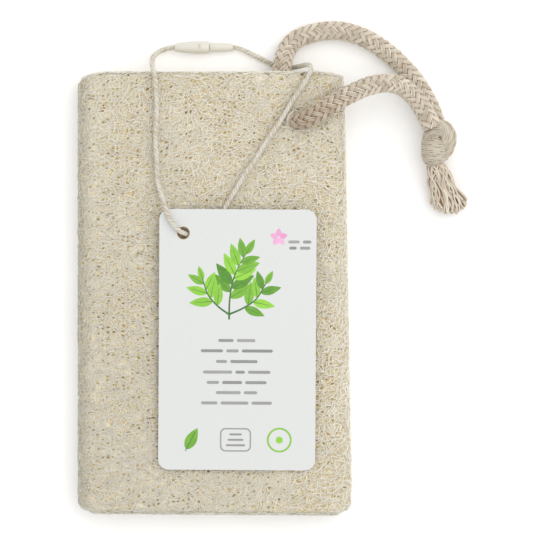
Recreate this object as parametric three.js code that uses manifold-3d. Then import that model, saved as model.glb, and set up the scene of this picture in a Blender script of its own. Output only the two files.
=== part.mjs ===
// A flat loofah pad with a knotted cotton hanging rope and a swing tag on a looped string.
// Millimetres, +Z up. The pad lies on its back at z = 0, with the origin under its middle;
// +X runs across the pad and +Y along it, towards the end with the rope.
import * as THREE from "three";
import { mergeVertices } from "three/addons/utils/BufferGeometryUtils.js";
import Module from "manifold-3d";

const wasm = await Module();
wasm.setup();

// The space that parts which touch keep between their surfaces.
const GAP = 0.3;

// The pad is a ripe loofah pressed flat: two folds at the sides, cut across at both ends.
const PAD = {
  halfWidth: 56.2, // at the wide end, which is the one away from the rope
  taper: 0.0176, // how much the right side leans in, per millimetre of length
  taperFrom: -80, // the leaning starts here, measured along the pad
  halfLength: 89.9,
  thickness: 16,
  farCorner: 5.5, // radius of the corners at the far end, seen from above
  nearCorner: 1.6, // and of those at the roped end
  edgeWear: 0.9, // how much the cut edges are worn back
};
// Both corners of the roped end fall away: where that starts, over what width, and how deep.
const FALL = {
  left: { from: 42, over: 14, deep: 3.2 },
  right: { from: 41, over: 12, deep: 1.8 },
  side: { from: 76, over: 14, deep: 1.4 },
};

// The fibre net, larger than life: six-sided meshes with raised edges and sunken middles.
const NET = {
  acrossFlat: 24, // lattice steps over the flat part of one face
  acrossFold: 6, // lattice steps round one fold
  rows: 52, // lattice steps along the pad
  depth: 2.3, // how far a mesh's middle lies under its edges
  depthSpread: 0.8,
  foldShare: 0.65, // the same on the side folds, as a share
  wander: 0.17, // how far a lattice point strays, in lattice steps
  restRadius: 8, // round the middle of the back the net is pressed flat
};

const ROPE = { diameter: 8.2, sides: 10, steps: 64 };
const STRING = { diameter: 2.2, sides: 8, steps: 76 };
const TAG = {
  width: 63.5,
  length: 105.5,
  thickness: 0.6,
  corner: 4.2,
  holeRadius: 2.5,
  holeFromLeft: 9.7,
  holeFromTop: 9.7,
  middle: [9.3, -18.7],
  turn: -0.35, // degrees, seen from above
  lift: 1.57, // degrees: its upper end lies on the string
};
const SEAL = {
  left: [-16.4, 100.4],
  barrelLength: 14.1,
  barrelRadius: 2.6,
  plugLength: 9.7,
  plugRadius: 1.85,
  peg: 5.5, // how far the plug reaches into the barrel
  pegRadius: 1.2,
  socketDepth: 2, // of the holes that take the string's ends
  stringHole: 1.4, // their radius
  clear: 0.05, // between the barrel and the surface
};
// The knot: a band of rope round its lower part, and turns over its front and back.
const KNOT = {
  middle: [91, 61.3, 7.9],
  wrapHalfHeight: 5.7,
  wrapRadii: [5.2, 6.6], // across and front to back
  wrapMiddle: [-1.8, -3.6, 0.3], // from the knot's middle
  wrapTilt: 0.12,
  turnRadius: 3.25,
  onLegs: 0.07, // the share of the rope's length at each end that the knot may hold
};
const TASSEL = {
  yarns: 20,
  yarnRadius: 0.75,
  steps: 4,
  length: 20,
  yarnStart: 0.1, // where the yarns come out of the knot, as a share of the length
  coreShare: 0.86, // the core's size against the bundle's
};

// The rope's middle line: from the knot along the front leg, in through the pad's face,
// out through its cut end, and back along the rear leg to the knot.
const ROPE_ROUTE = [
  [88.2, 67.6, 12.2],
  [87.3, 69.6, 12.5],
  [85.8, 72.4, 12.7],
  [83.8, 75.9, 12.9],
  [81.4, 79.3, 13.1],
  [78.1, 82.4, 13.5],
  [74.5, 84.4, 14.2],
  [70.4, 85.2, 15.5],
  [65.1, 84.6, 17.4],
  [59.8, 82.8, 19.2],
  [55.0, 80.6, 20.3],
  [49.7, 77.7, 20.6],
  [44.8, 74.7, 20.6],
  [39.6, 71.7, 19.9],
  [35.0, 70.0, 17.0],
  [31.4, 70.9, 12.6],
  [29.2, 74.3, 9.4],
  [28.1, 79.5, 8.1],
  [27.5, 85.0, 7.9],
  [27.4, 90.0, 7.9],
  [27.8, 94.2, 7.2],
  [29.3, 99.0, 5.4],
  [32.4, 103.0, 4.5],
  [37.1, 105.3, 4.3],
  [42.0, 106.6, 4.3],
  [48.1, 107.2, 4.3],
  [53.8, 106.6, 4.3],
  [59.0, 105.0, 4.3],
  [63.9, 102.7, 4.3],
  [68.8, 99.4, 4.3],
  [73.2, 95.8, 4.3],
  [77.3, 91.7, 4.3],
  [81.0, 87.5, 4.3],
  [83.8, 83.4, 4.3],
  [86.2, 79.3, 4.3],
  [88.1, 75.3, 4.3],
  [89.5, 71.6, 4.3],
  [90.1, 68.4, 4.4],
];
// The stretch of the route that the pad holds, as two places along it, 0 to 1.
const ROPE_IN_PAD = { from: 0.29, to: 0.53 };

// The string's middle line: from the seal's plug, under the rope's rear leg, up over the pad's
// end and down its face, under the tag and up through its hole, and back to the seal's barrel.
const STRING_ROUTE = [
  [5.8, 100.4, 2.65],
  [9.4, 100.1, 2.5],
  [13.0, 98.7, 1.9],
  [20.5, 95.0, 1.4],
  [24.0, 93.2, 1.4],
  [27.6, 92.2, 1.5],
  [31.2, 92.1, 2.9],
  [36.6, 92.7, 11.4],
  [38.4, 92.5, 15.6],
  [39.0, 90.9, 18.1],
  [38.3, 88.4, 18.0],
  [34.5, 82.3, 17.5],
  [26.6, 69.8, 17.5],
  [16.4, 54.2, 17.5],
  [6.3, 38.2, 17.5],
  [3.4, 32.6, 17.5],
  [-0.2, 28.2, 17.5],
  [-4.6, 25.0, 17.5],
  [-8.6, 23.6, 17.4],
  [-10.7, 23.8, 17.8],
  [-12.5, 24.5, 19.2],
  [-14.3, 25.5, 20.7],
  [-16.0, 27.2, 21.1],
  [-18.5, 31.2, 21.1],
  [-19.7, 34.7, 20.7],
  [-20.8, 37.9, 19.4],
  [-21.8, 41.0, 18.1],
  [-22.7, 44.4, 17.5],
  [-23.2, 49.3, 17.5],
  [-23.7, 64.3, 17.5],
  [-23.3, 79.7, 17.5],
  [-23.8, 85.0, 17.6],
  [-24.5, 89.2, 17.7],
  [-25.1, 91.9, 15.5],
  [-25.4, 93.6, 11.0],
  [-24.9, 96.7, 3.4],
  [-23.2, 98.5, 1.8],
  [-20.6, 99.7, 1.7],
  [-18.0, 100.3, 2.4],
  [-14.8, 100.4, 2.65],
];

// The tassel's middle line from the knot down to where it lies on the surface, with the
// half-width and half-height of the bundle at each place.
const TASSEL_LINE = [
  { at: [90.6, 53.4, 7.2], wide: 3.1, high: 3.1 },
  { at: [90.9, 50.4, 6.4], wide: 4.0, high: 3.9 },
  { at: [91.3, 46.2, 5.4], wide: 4.6, high: 4.0 },
  { at: [92.3, 41.4, 4.6], wide: 5.4, high: 3.7 },
  { at: [94.1, 36.6, 4.2], wide: 6.9, high: 3.6 },
  { at: [95.9, 33.0, 4.0], wide: 8.0, high: 3.4 },
];

const MATERIALS = {
  loofah: { color: 0xd9d0ba, roughness: 0.9, metalness: 0 },
  cotton: { color: 0xcdc1af, roughness: 0.95, metalness: 0 },
  cord: { color: 0xdcd6c6, roughness: 0.85, metalness: 0 },
  card: { color: 0xe6e8e7, roughness: 0.8, metalness: 0 },
  plastic: { color: 0xdcd8cb, roughness: 0.4, metalness: 0 },
};

// The same run of numbers from 0 to 1 every time.
function seededRandom(seed) {
  let state = seed;
  return () => {
    state = (state * 1664525 + 1013904223) % 4294967296;
    return state / 4294967296;
  };
}

function solidOf(geometry) {
  const bare = geometry.clone();
  bare.deleteAttribute("normal");
  bare.deleteAttribute("uv");
  const merged = mergeVertices(bare, 1e-4);
  return new wasm.Manifold(
    new wasm.Mesh({
      numProp: 3,
      vertProperties: new Float32Array(merged.attributes.position.array),
      triVerts: new Uint32Array(merged.index.array),
    }),
  );
}

function geometryOf(solid) {
  const mesh = solid.getMesh();
  const geometry = new THREE.BufferGeometry();
  geometry.setAttribute("position", new THREE.BufferAttribute(mesh.vertProperties, 3));
  geometry.setIndex(new THREE.BufferAttribute(mesh.triVerts, 1));
  geometry.computeVertexNormals();
  return geometry;
}

// The outer skin of a solid alone, with any pocket that is shut inside it filled.
function outerSkin(solid) {
  const skins = solid.decompose();
  skins.sort((a, b) => b.volume() - a.volume());
  return skins[0];
}

function curveThrough(points) {
  return new THREE.CatmullRomCurve3(points.map((p) => new THREE.Vector3(...p)), false, "centripetal");
}

function roundSection(radius, sides) {
  const corners = [];
  for (let i = 0; i < sides; i++) {
    const angle = (i / sides) * 2 * Math.PI;
    corners.push(new THREE.Vector2(radius * Math.cos(angle), radius * Math.sin(angle)));
  }
  return new THREE.Shape(corners);
}

function tubeAlong(curve, radius, sides, steps) {
  const options = { steps, bevelEnabled: false, extrudePath: curve };
  return new THREE.ExtrudeGeometry(roundSection(radius, sides), options);
}

// The room that a rope needs between two places along it, with the gap on all sides.
function roomAlong(curve, from, to, steps) {
  const points = [];
  for (let i = 0; i <= steps; i++) {
    points.push(curve.getPointAt(from + ((to - from) * i) / steps));
  }
  if (from === 0) points.unshift(points[0].clone().addScaledVector(curve.getTangentAt(0), -2 * GAP));
  if (to === 1) points.push(points.at(-1).clone().addScaledVector(curve.getTangentAt(1), 2 * GAP));
  const path = new THREE.CatmullRomCurve3(points);
  return solidOf(tubeAlong(path, ROPE.diameter / 2 + GAP, ROPE.sides, steps));
}

// How far a side of the pad is drawn in near its ends, for a corner of that radius.
function cornerInset(fromEnd, radius) {
  if (fromEnd >= radius) return 0;
  if (fromEnd <= 0) return radius;
  return radius - Math.sqrt(radius ** 2 - (radius - fromEnd) ** 2);
}

// How far an edge has fallen away at a distance along it.
function fallen(edge, distance) {
  return edge.deep * Math.max(0, (distance - edge.from) / edge.over) ** 2;
}

function padLeft(y) {
  const farCorner = cornerInset(y + PAD.halfLength, PAD.farCorner);
  const nearCorner = cornerInset(PAD.halfLength - y, PAD.nearCorner);
  return -PAD.halfWidth + farCorner + nearCorner;
}

function padRight(y) {
  const farCorner = cornerInset(y + PAD.halfLength, PAD.farCorner);
  const leaning = PAD.taper * Math.max(0, y - PAD.taperFrom);
  return PAD.halfWidth - leaning - farCorner - fallen(FALL.side, y);
}

function padTopEnd(x) {
  return PAD.halfLength - fallen(FALL.left, -x) - fallen(FALL.right, x);
}

// The far end is cut a little askew.
function padBottomEnd(x) {
  const askew = 0.35 - 0.0062 * x;
  return -PAD.halfLength + askew;
}

// How thick the pad is at a place, as a share of its full thickness: it rolls gently, and
// there is a shallow dip along the left fold.
function padSwell(x, y) {
  const roll = 0.5 + 0.5 * Math.sin(x / 17 + y / 70 + 2.2);
  const dip = Math.exp(-(((x + 41) / 7) ** 2));
  return 1 - 0.028 * roll - 0.03 * dip;
}

const RING = 2 * (NET.acrossFlat + NET.acrossFold);

// A point of the pad's section, at a step round the ring. The straight part has the same
// places at every share of the fold's radius, so that rings nest inside each other.
function sectionPoint(step, share, y) {
  const radius = PAD.thickness / 2;
  const s = ((step % RING) + RING) % RING;
  const left = padLeft(y) + radius;
  const right = padRight(y) - radius;
  const turnFrom = (start) => ((s - start) / NET.acrossFold) * Math.PI;
  let centre, angle;
  if (s <= NET.acrossFlat) {
    centre = left + ((right - left) * s) / NET.acrossFlat;
    angle = Math.PI / 2;
  } else if (s < NET.acrossFlat + NET.acrossFold) {
    centre = right;
    angle = Math.PI / 2 - turnFrom(NET.acrossFlat);
  } else if (s <= 2 * NET.acrossFlat + NET.acrossFold) {
    const along = s - NET.acrossFlat - NET.acrossFold;
    centre = right - ((right - left) * along) / NET.acrossFlat;
    angle = -Math.PI / 2;
  } else {
    centre = left;
    angle = -Math.PI / 2 - turnFrom(2 * NET.acrossFlat + NET.acrossFold);
  }
  const out = new THREE.Vector2(Math.cos(angle), Math.sin(angle));
  return { x: centre + out.x * radius * share, z: radius + out.y * radius * share, out };
}

// Rows stand closer together at the ends, where the corners are round.
function rowShare(row) {
  const near = [0, 1.4, 3.7, 6.7];
  const even = (distance) => distance / (2 * PAD.halfLength);
  if (row < near.length) return even(near[row]);
  if (row > NET.rows - near.length) return 1 - even(near[NET.rows - row]);
  const first = even(near[3]);
  return first + ((1 - 2 * first) * (row - 3)) / (NET.rows - 6);
}

// A point on the pad's surface: sunk lies that far under the skin, share draws it to the middle.
function padPoint(step, rowPlace, share, sunk) {
  const low = Math.floor(rowPlace);
  const part = rowPlace - low;
  const along = rowShare(low) * (1 - part) + rowShare(Math.min(low + 1, NET.rows)) * part;
  const level = (along * 2 - 1) * PAD.halfLength;
  const place = sectionPoint(step, share, level);
  const x = place.x - place.out.x * sunk;
  const y = padBottomEnd(x) * (1 - along) + padTopEnd(x) * along;
  const z = (place.z - place.out.y * sunk) * padSwell(x, y);
  return new THREE.Vector3(x, y, z);
}

// In axial lattice terms every third point is the middle of a mesh of the net.
function isMeshMiddle(i, row) {
  return (((i - Math.floor(row / 2) - row) % 3) + 3) % 3 === 0;
}

function padSkinRows(random, points) {
  const rows = [];
  for (let row = 0; row <= NET.rows; row++) {
    const ids = [];
    const isEnd = row === 0 || row === NET.rows;
    const nearEnd = row < 3 || row > NET.rows - 3;
    for (let i = 0; i < RING; i++) {
      const strayStep = (random() * 2 - 1) * NET.wander * (nearEnd ? 0 : 1);
      const strayRow = (random() * 2 - 1) * NET.wander * (nearEnd ? 0 : 1);
      const spread = random();
      let step = i + (row % 2) / 2 + strayStep;
      let sunk = isEnd ? PAD.edgeWear : 0;
      const flat = padPoint(step, row + strayRow, 1, 0);
      const onBack = flat.z < 0.01;
      const onFold = !onBack && flat.z < PAD.thickness * 0.9;
      if (!isEnd && isMeshMiddle(i, row)) {
        sunk = (NET.depth - NET.depthSpread * spread) * (onFold ? NET.foldShare : 1);
      }
      if (onBack && Math.hypot(flat.x, flat.y) < NET.restRadius) sunk = 0;
      ids.push(points.length);
      points.push(padPoint(step, row + strayRow, 1, sunk));
    }
    rows.push(ids);
  }
  return rows;
}

// Points on a cut end, at a share of the way out from its middle line. Every third one is the
// middle of an opened mesh, and lies sunk by that much.
function cutEndPoints(row, inward, share, count, opened, deep, random, points) {
  const ids = [];
  for (let i = 0; i < count; i++) {
    const sunk = i % 3 === opened ? deep * (1 - 0.35 * random()) : 0.25;
    const p = padPoint(i, row, share, 0);
    p.y += inward * sunk;
    ids.push(points.length);
    points.push(p);
  }
  return ids;
}

// A cut end: rings that nest inside the end row, down to a line along the middle.
function padEndRings(row, inward, endRow, random, points) {
  const half = cutEndPoints(row, inward, 0.48, RING, 1, 1.5, random, points);
  const line = cutEndPoints(row, inward, 0, NET.acrossFlat + 1, 0, 1.9, random, points);
  const folded = [];
  for (let i = 0; i < RING; i++) {
    const back = 2 * NET.acrossFlat + NET.acrossFold - i;
    if (i <= NET.acrossFlat) folded.push(line[i]);
    else if (i < NET.acrossFlat + NET.acrossFold) folded.push(line[NET.acrossFlat]);
    else folded.push(line[Math.max(0, back)]);
  }
  return [endRow, half, folded];
}

function addBand(index, low, high, offset, flip) {
  const add = (a, b, c) => {
    if (a === b || b === c || a === c) return;
    index.push(a, flip ? b : c, flip ? c : b);
  };
  for (let i = 0; i < low.length; i++) {
    const next = (i + 1) % low.length;
    if (offset) {
      add(low[i], high[i], low[next]);
      add(low[next], high[i], high[next]);
    } else {
      add(low[i], high[next], low[next]);
      add(low[i], high[i], high[next]);
    }
  }
}

function padBody() {
  const random = seededRandom(27);
  const points = [];
  const rows = padSkinRows(random, points);
  const index = [];
  for (let row = 0; row < NET.rows; row++) {
    addBand(index, rows[row], rows[row + 1], row % 2 === 0, false);
  }
  const nearRings = padEndRings(0, 1, rows[0], random, points);
  const farRings = padEndRings(NET.rows, -1, rows[NET.rows], random, points);
  for (let k = 0; k < 2; k++) {
    addBand(index, nearRings[k], nearRings[k + 1], false, true);
    addBand(index, farRings[k], farRings[k + 1], false, false);
  }
  const geometry = new THREE.BufferGeometry();
  const flat = points.flatMap((p) => [p.x, p.y, p.z]);
  geometry.setAttribute("position", new THREE.Float32BufferAttribute(flat, 3));
  geometry.setIndex(index);
  return solidOf(geometry);
}

// The pad, with the way that the rope takes through it.
function loofahPad() {
  const way = roomAlong(curveThrough(ROPE_ROUTE), ROPE_IN_PAD.from, ROPE_IN_PAD.to, 24);
  return geometryOf(padBody().subtract(way));
}

function hangingRope() {
  return tubeAlong(curveThrough(ROPE_ROUTE), ROPE.diameter / 2, ROPE.sides, ROPE.steps);
}

// The band that wraps round the knot's lower part: a barrel with full sides.
function knotWrap() {
  const steps = 8;
  const profile = [new THREE.Vector2(0, -KNOT.wrapHalfHeight)];
  for (let i = 1; i < steps; i++) {
    const angle = -Math.PI / 2 + (Math.PI * i) / steps;
    const height = Math.sign(Math.sin(angle)) * Math.abs(Math.sin(angle)) ** 0.85;
    profile.push(new THREE.Vector2(Math.cos(angle) ** 0.55, KNOT.wrapHalfHeight * height));
  }
  profile.push(new THREE.Vector2(0, KNOT.wrapHalfHeight));
  const barrel = new THREE.LatheGeometry(profile, 22);
  barrel.scale(KNOT.wrapRadii[0], 1, KNOT.wrapRadii[1]);
  barrel.rotateZ(KNOT.wrapTilt);
  barrel.translate(...KNOT.wrapMiddle);
  return solidOf(barrel);
}

// The turn of rope that comes over the knot's top and down its right side.
function knotFrontTurn() {
  const path = curveThrough([
    [-4.1, 3.4, -0.6],
    [-2.6, 5.3, 2.2],
    [0.6, 6.2, 3.0],
    [3.2, 4.6, 2.6],
    [4.0, 1.0, 1.6],
    [3.4, -2.8, 0.4],
    [1.6, -6.2, -0.8],
  ]);
  return solidOf(tubeAlong(path, KNOT.turnRadius, 12, 14));
}

// The same turn on the side that lies on the surface.
function knotBackTurn() {
  const path = curveThrough([
    [3.0, 5.0, 0.5],
    [0.6, 5.9, -2.8],
    [-2.4, 3.2, -4.2],
    [-3.4, -1.0, -4.4],
  ]);
  return solidOf(tubeAlong(path, KNOT.turnRadius, 12, 8));
}

// The knot, with sockets for the rope's two legs and for the tassel's yarns.
function ropeKnot() {
  const turns = knotWrap().add(knotFrontTurn()).add(knotBackTurn()).translate(KNOT.middle);
  const route = curveThrough(ROPE_ROUTE);
  const front = roomAlong(route, 0, KNOT.onLegs, 7);
  const rear = roomAlong(route, 1 - KNOT.onLegs, 1, 7);
  return geometryOf(turns.subtract(front).subtract(rear).subtract(tasselCore(GAP)));
}

// Where the tassel's bundle is at a place along it, 0 to 1.
function bundleAt(t) {
  const place = t * (TASSEL_LINE.length - 1);
  const k = Math.min(Math.floor(place), TASSEL_LINE.length - 2);
  const part = place - k;
  const mix = (a, b) => a * (1 - part) + b * part;
  const [a, b] = [TASSEL_LINE[k], TASSEL_LINE[k + 1]];
  return {
    at: a.at.map((v, axis) => mix(v, b.at[axis])),
    wide: mix(a.wide, b.wide),
    high: mix(a.high, b.high),
  };
}

// A slimmer core that the yarns stand out of, grown by a margin where the knot clears it.
function tasselCore(grow) {
  const sides = 12;
  const rings = 7;
  const points = [];
  const index = [];
  for (let k = 0; k < rings; k++) {
    const { at, wide, high } = bundleAt((k / (rings - 1)) * TASSEL.coreShare);
    for (let i = 0; i < sides; i++) {
      const angle = (i / sides) * 2 * Math.PI;
      const across = (wide * TASSEL.coreShare + grow) * Math.cos(angle);
      const up = (high * TASSEL.coreShare + grow) * Math.sin(angle);
      const lengthwise = k === 0 ? grow : 0;
      points.push(at[0] + across, at[1] + lengthwise, at[2] + up);
    }
  }
  for (let k = 0; k < rings - 1; k++) {
    for (let i = 0; i < sides; i++) {
      const [a, b] = [k * sides + i, k * sides + ((i + 1) % sides)];
      index.push(a, b, b + sides, a, b + sides, a + sides);
    }
  }
  const last = (rings - 1) * sides;
  for (let i = 1; i < sides - 1; i++) {
    index.push(0, i + 1, i);
    index.push(last, last + i, last + i + 1);
  }
  const geometry = new THREE.BufferGeometry();
  geometry.setAttribute("position", new THREE.Float32BufferAttribute(points, 3));
  geometry.setIndex(index);
  return solidOf(geometry);
}

// One yarn: it starts under the knot, sways a little and ends near the bundle's end.
function tasselYarn(k, random) {
  const angle = (k / TASSEL.yarns) * 2 * Math.PI;
  const reach = 0.93 + 0.12 * random();
  const sway = (random() - 0.5) * 0.7;
  const points = [];
  for (let n = 0; n <= TASSEL.steps; n++) {
    const t = TASSEL.yarnStart + (reach - TASSEL.yarnStart) * (n / TASSEL.steps);
    const { at, wide, high } = bundleAt(Math.min(t, 1));
    const turned = angle + sway * Math.sin(t * 5);
    const beyond = Math.max(0, t - 1) * TASSEL.length;
    const across = (wide - TASSEL.yarnRadius) * Math.cos(turned);
    const up = (high - TASSEL.yarnRadius) * Math.sin(turned);
    points.push([at[0] + across, at[1] - beyond, at[2] + up]);
  }
  return solidOf(tubeAlong(curveThrough(points), TASSEL.yarnRadius, 5, TASSEL.steps));
}

function ropeTassel() {
  const random = seededRandom(5);
  const yarns = [];
  for (let k = 0; k < TASSEL.yarns; k++) {
    yarns.push(tasselYarn(k, random));
  }
  const bundle = wasm.Manifold.union([tasselCore(0), ...yarns]);
  return geometryOf(outerSkin(bundle.simplify(0.06)));
}

function roundedCard() {
  const [w, l, r] = [TAG.width / 2, TAG.length / 2, TAG.corner];
  const card = new THREE.Shape();
  card.moveTo(-w + r, -l);
  card.lineTo(w - r, -l);
  card.absarc(w - r, -l + r, r, -Math.PI / 2, 0, false);
  card.lineTo(w, l - r);
  card.absarc(w - r, l - r, r, 0, Math.PI / 2, false);
  card.lineTo(-w + r, l);
  card.absarc(-w + r, l - r, r, Math.PI / 2, Math.PI, false);
  card.lineTo(-w, -l + r);
  card.absarc(-w + r, -l + r, r, Math.PI, 1.5 * Math.PI, false);
  const hole = new THREE.Path();
  hole.absarc(-w + TAG.holeFromLeft, l - TAG.holeFromTop, TAG.holeRadius, 0, 2 * Math.PI, true);
  card.holes.push(hole);
  const options = { depth: TAG.thickness, bevelEnabled: false, curveSegments: 8 };
  return new THREE.ExtrudeGeometry(card, options);
}

// A shape turned about the seal's axis, from [place along it, radius] pairs.
function turnedAlongX(profile, sides) {
  const points = profile.map(([x, r]) => new THREE.Vector2(r, x));
  const geometry = new THREE.LatheGeometry(points, sides);
  geometry.rotateZ(-Math.PI / 2);
  return solidOf(geometry);
}

function roundHole(from, to, radius) {
  return turnedAlongX([[from, 0], [from, radius], [to, radius], [to, 0]], 12);
}

// The barrel swells from the string's end to the mouth that takes the plug.
function sealBarrel() {
  const { barrelLength: long, barrelRadius: full, socketDepth, stringHole } = SEAL;
  const shell = turnedAlongX(
    [[0, 0], [0, 1.75], [1.2, 1.95], [3.2, 2.3], [6, 2.55], [9, full], [long, 2.52], [long, 0]],
    20,
  );
  const socket = roundHole(-1, socketDepth, stringHole);
  const mouth = roundHole(long - SEAL.peg - 0.5, long + 1, SEAL.pegRadius + GAP);
  const window = new THREE.BoxGeometry(1.1, 1.7, 1.2);
  window.translate(10.0, 0.3, full);
  return geometryOf(shell.subtract(socket).subtract(mouth).subtract(solidOf(window)));
}

// The plug's peg goes into the barrel, and its outer end holds the other end of the string.
function sealPlug() {
  const { plugLength: long, plugRadius: full, peg, pegRadius, socketDepth, stringHole } = SEAL;
  const body = turnedAlongX(
    [
      [-peg, 0],
      [-peg, 0.8],
      [-peg + 0.4, pegRadius],
      [GAP, pegRadius],
      [GAP, full],
      [5, 1.82],
      [long, 1.72],
      [long, 0],
    ],
    16,
  );
  return geometryOf(body.subtract(roundHole(long - socketDepth, long + 1, stringHole)));
}

function meshOf(name, geometry, finish) {
  const mesh = new THREE.Mesh(geometry, new THREE.MeshStandardMaterial(MATERIALS[finish]));
  mesh.name = name;
  return mesh;
}

// The card lies on the pad at its lower end and on the string at its upper end.
function tagMesh() {
  const mesh = meshOf("tag_card", roundedCard(), "card");
  const lift = THREE.MathUtils.degToRad(TAG.lift);
  const rise = (TAG.length / 2) * Math.sin(lift);
  mesh.rotation.set(lift, 0, THREE.MathUtils.degToRad(TAG.turn), "ZXY");
  mesh.position.set(...TAG.middle, PAD.thickness + GAP + rise);
  return mesh;
}

function tagString() {
  return tubeAlong(curveThrough(STRING_ROUTE), STRING.diameter / 2, STRING.sides, STRING.steps);
}

function sealMesh(name, geometry, fromLeft) {
  const mesh = meshOf(name, geometry, "plastic");
  mesh.position.set(SEAL.left[0] + fromLeft, SEAL.left[1], SEAL.barrelRadius + SEAL.clear);
  return mesh;
}

const part = new THREE.Group();
part.add(meshOf("loofah_pad", loofahPad(), "loofah"));
part.add(meshOf("hanging_rope", hangingRope(), "cotton"));
part.add(meshOf("rope_knot", ropeKnot(), "cotton"));
part.add(meshOf("rope_tassel", ropeTassel(), "cotton"));
part.add(tagMesh());
part.add(meshOf("tag_string", tagString(), "cord"));
part.add(sealMesh("seal_barrel", sealBarrel(), 0));
part.add(sealMesh("seal_plug", sealPlug(), SEAL.barrelLength));

export default part;
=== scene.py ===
# %% [markdown]
# # A natural loofah pad with a rope and a swing tag
#
# A loofah is the dried inside of a ripe gourd: thousands of stiff fibres, grown together in a
# net. This one is pressed flat, and it has a braided cotton rope to hang it by and a paper tag on
# a looped string. The sizes come from a finished model of the part, called the frame, and this
# lesson dresses that frame: it makes the net, the braid and the print, and lights them.
#
# Lengths are in metres. The pad lies on its back, with +X across it, +Y along it and +Z up.

# %% Open the frame
import math

import bmesh
import bpy
import numpy as np
from mathutils import Matrix, Vector
from mathutils.geometry import tessellate_polygon


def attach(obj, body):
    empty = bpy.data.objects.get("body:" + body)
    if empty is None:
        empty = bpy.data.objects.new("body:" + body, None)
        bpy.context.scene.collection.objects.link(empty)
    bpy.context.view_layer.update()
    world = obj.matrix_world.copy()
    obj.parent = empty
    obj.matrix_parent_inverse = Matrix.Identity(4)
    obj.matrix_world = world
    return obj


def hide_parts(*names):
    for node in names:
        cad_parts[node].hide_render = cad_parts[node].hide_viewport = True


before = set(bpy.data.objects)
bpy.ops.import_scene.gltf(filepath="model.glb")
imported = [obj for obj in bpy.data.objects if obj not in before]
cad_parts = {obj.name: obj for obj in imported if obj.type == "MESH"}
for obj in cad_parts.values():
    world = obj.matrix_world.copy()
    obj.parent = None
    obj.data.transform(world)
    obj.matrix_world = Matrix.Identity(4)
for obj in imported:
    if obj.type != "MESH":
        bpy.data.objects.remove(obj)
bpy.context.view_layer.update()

# %% [markdown]
# ## The camera
#
# The photograph looks straight down, from far enough that the sides hardly show. A long lens does
# that: its rays are nearly parallel, so the pad and the table keep the same scale. An
# orthographic camera would be simpler, but would show nothing of the sides at all. The distance
# follows from the width that the picture shows at a height a little under the pad's face.

# %% Place the camera
PICTURE_WIDTH = 0.2192
PICTURE_MIDDLE = (0.0225, 0.0095)
FOCUS_HEIGHT = 0.012
LENS = 250.0
SENSOR = 36.0

camera = bpy.data.objects.new("camera", bpy.data.cameras.new("camera"))
bpy.context.scene.collection.objects.link(camera)
camera.data.lens = LENS
camera.data.sensor_width = SENSOR
camera.data.clip_end = 10.0
camera.location = (*PICTURE_MIDDLE, FOCUS_HEIGHT + PICTURE_WIDTH * LENS / SENSOR)
bpy.context.scene.camera = camera
print("camera height:", round(camera.location.z, 3))

# %% [markdown]
# ## Writing node trees as sums
#
# Materials and Geometry Nodes are both trees of nodes. Wiring them by hand takes many lines, so
# this small class wraps a node's output and lets Python's own + - * / add the Math nodes. The
# same class serves both kinds of tree, because a Math node is the same in both.

# %% A value that adds its own Math nodes
def shown(sockets, key):
    """The socket of that name or number among those that the node's settings leave in use."""
    used = [socket for socket in sockets if socket.enabled]
    return used[key] if isinstance(key, int) else next(s for s in used if s.name == key)


def sums(operation):
    """Two methods for one sign: for value + other, and for other + value."""

    def plain(self, other):
        return self.graph.maths(operation, self, other)

    def reflected(self, other):
        return self.graph.maths(operation, other, self)

    return plain, reflected


class Value:
    """One output of a node."""

    def __init__(self, graph, socket):
        self.graph, self.socket = graph, socket

    def out(self, key):
        """Another output of the same node."""
        return Value(self.graph, shown(self.socket.node.outputs, key))

    __add__, __radd__ = sums("ADD")
    __sub__, __rsub__ = sums("SUBTRACT")
    __mul__, __rmul__ = sums("MULTIPLY")
    __truediv__, __rtruediv__ = sums("DIVIDE")


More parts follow.
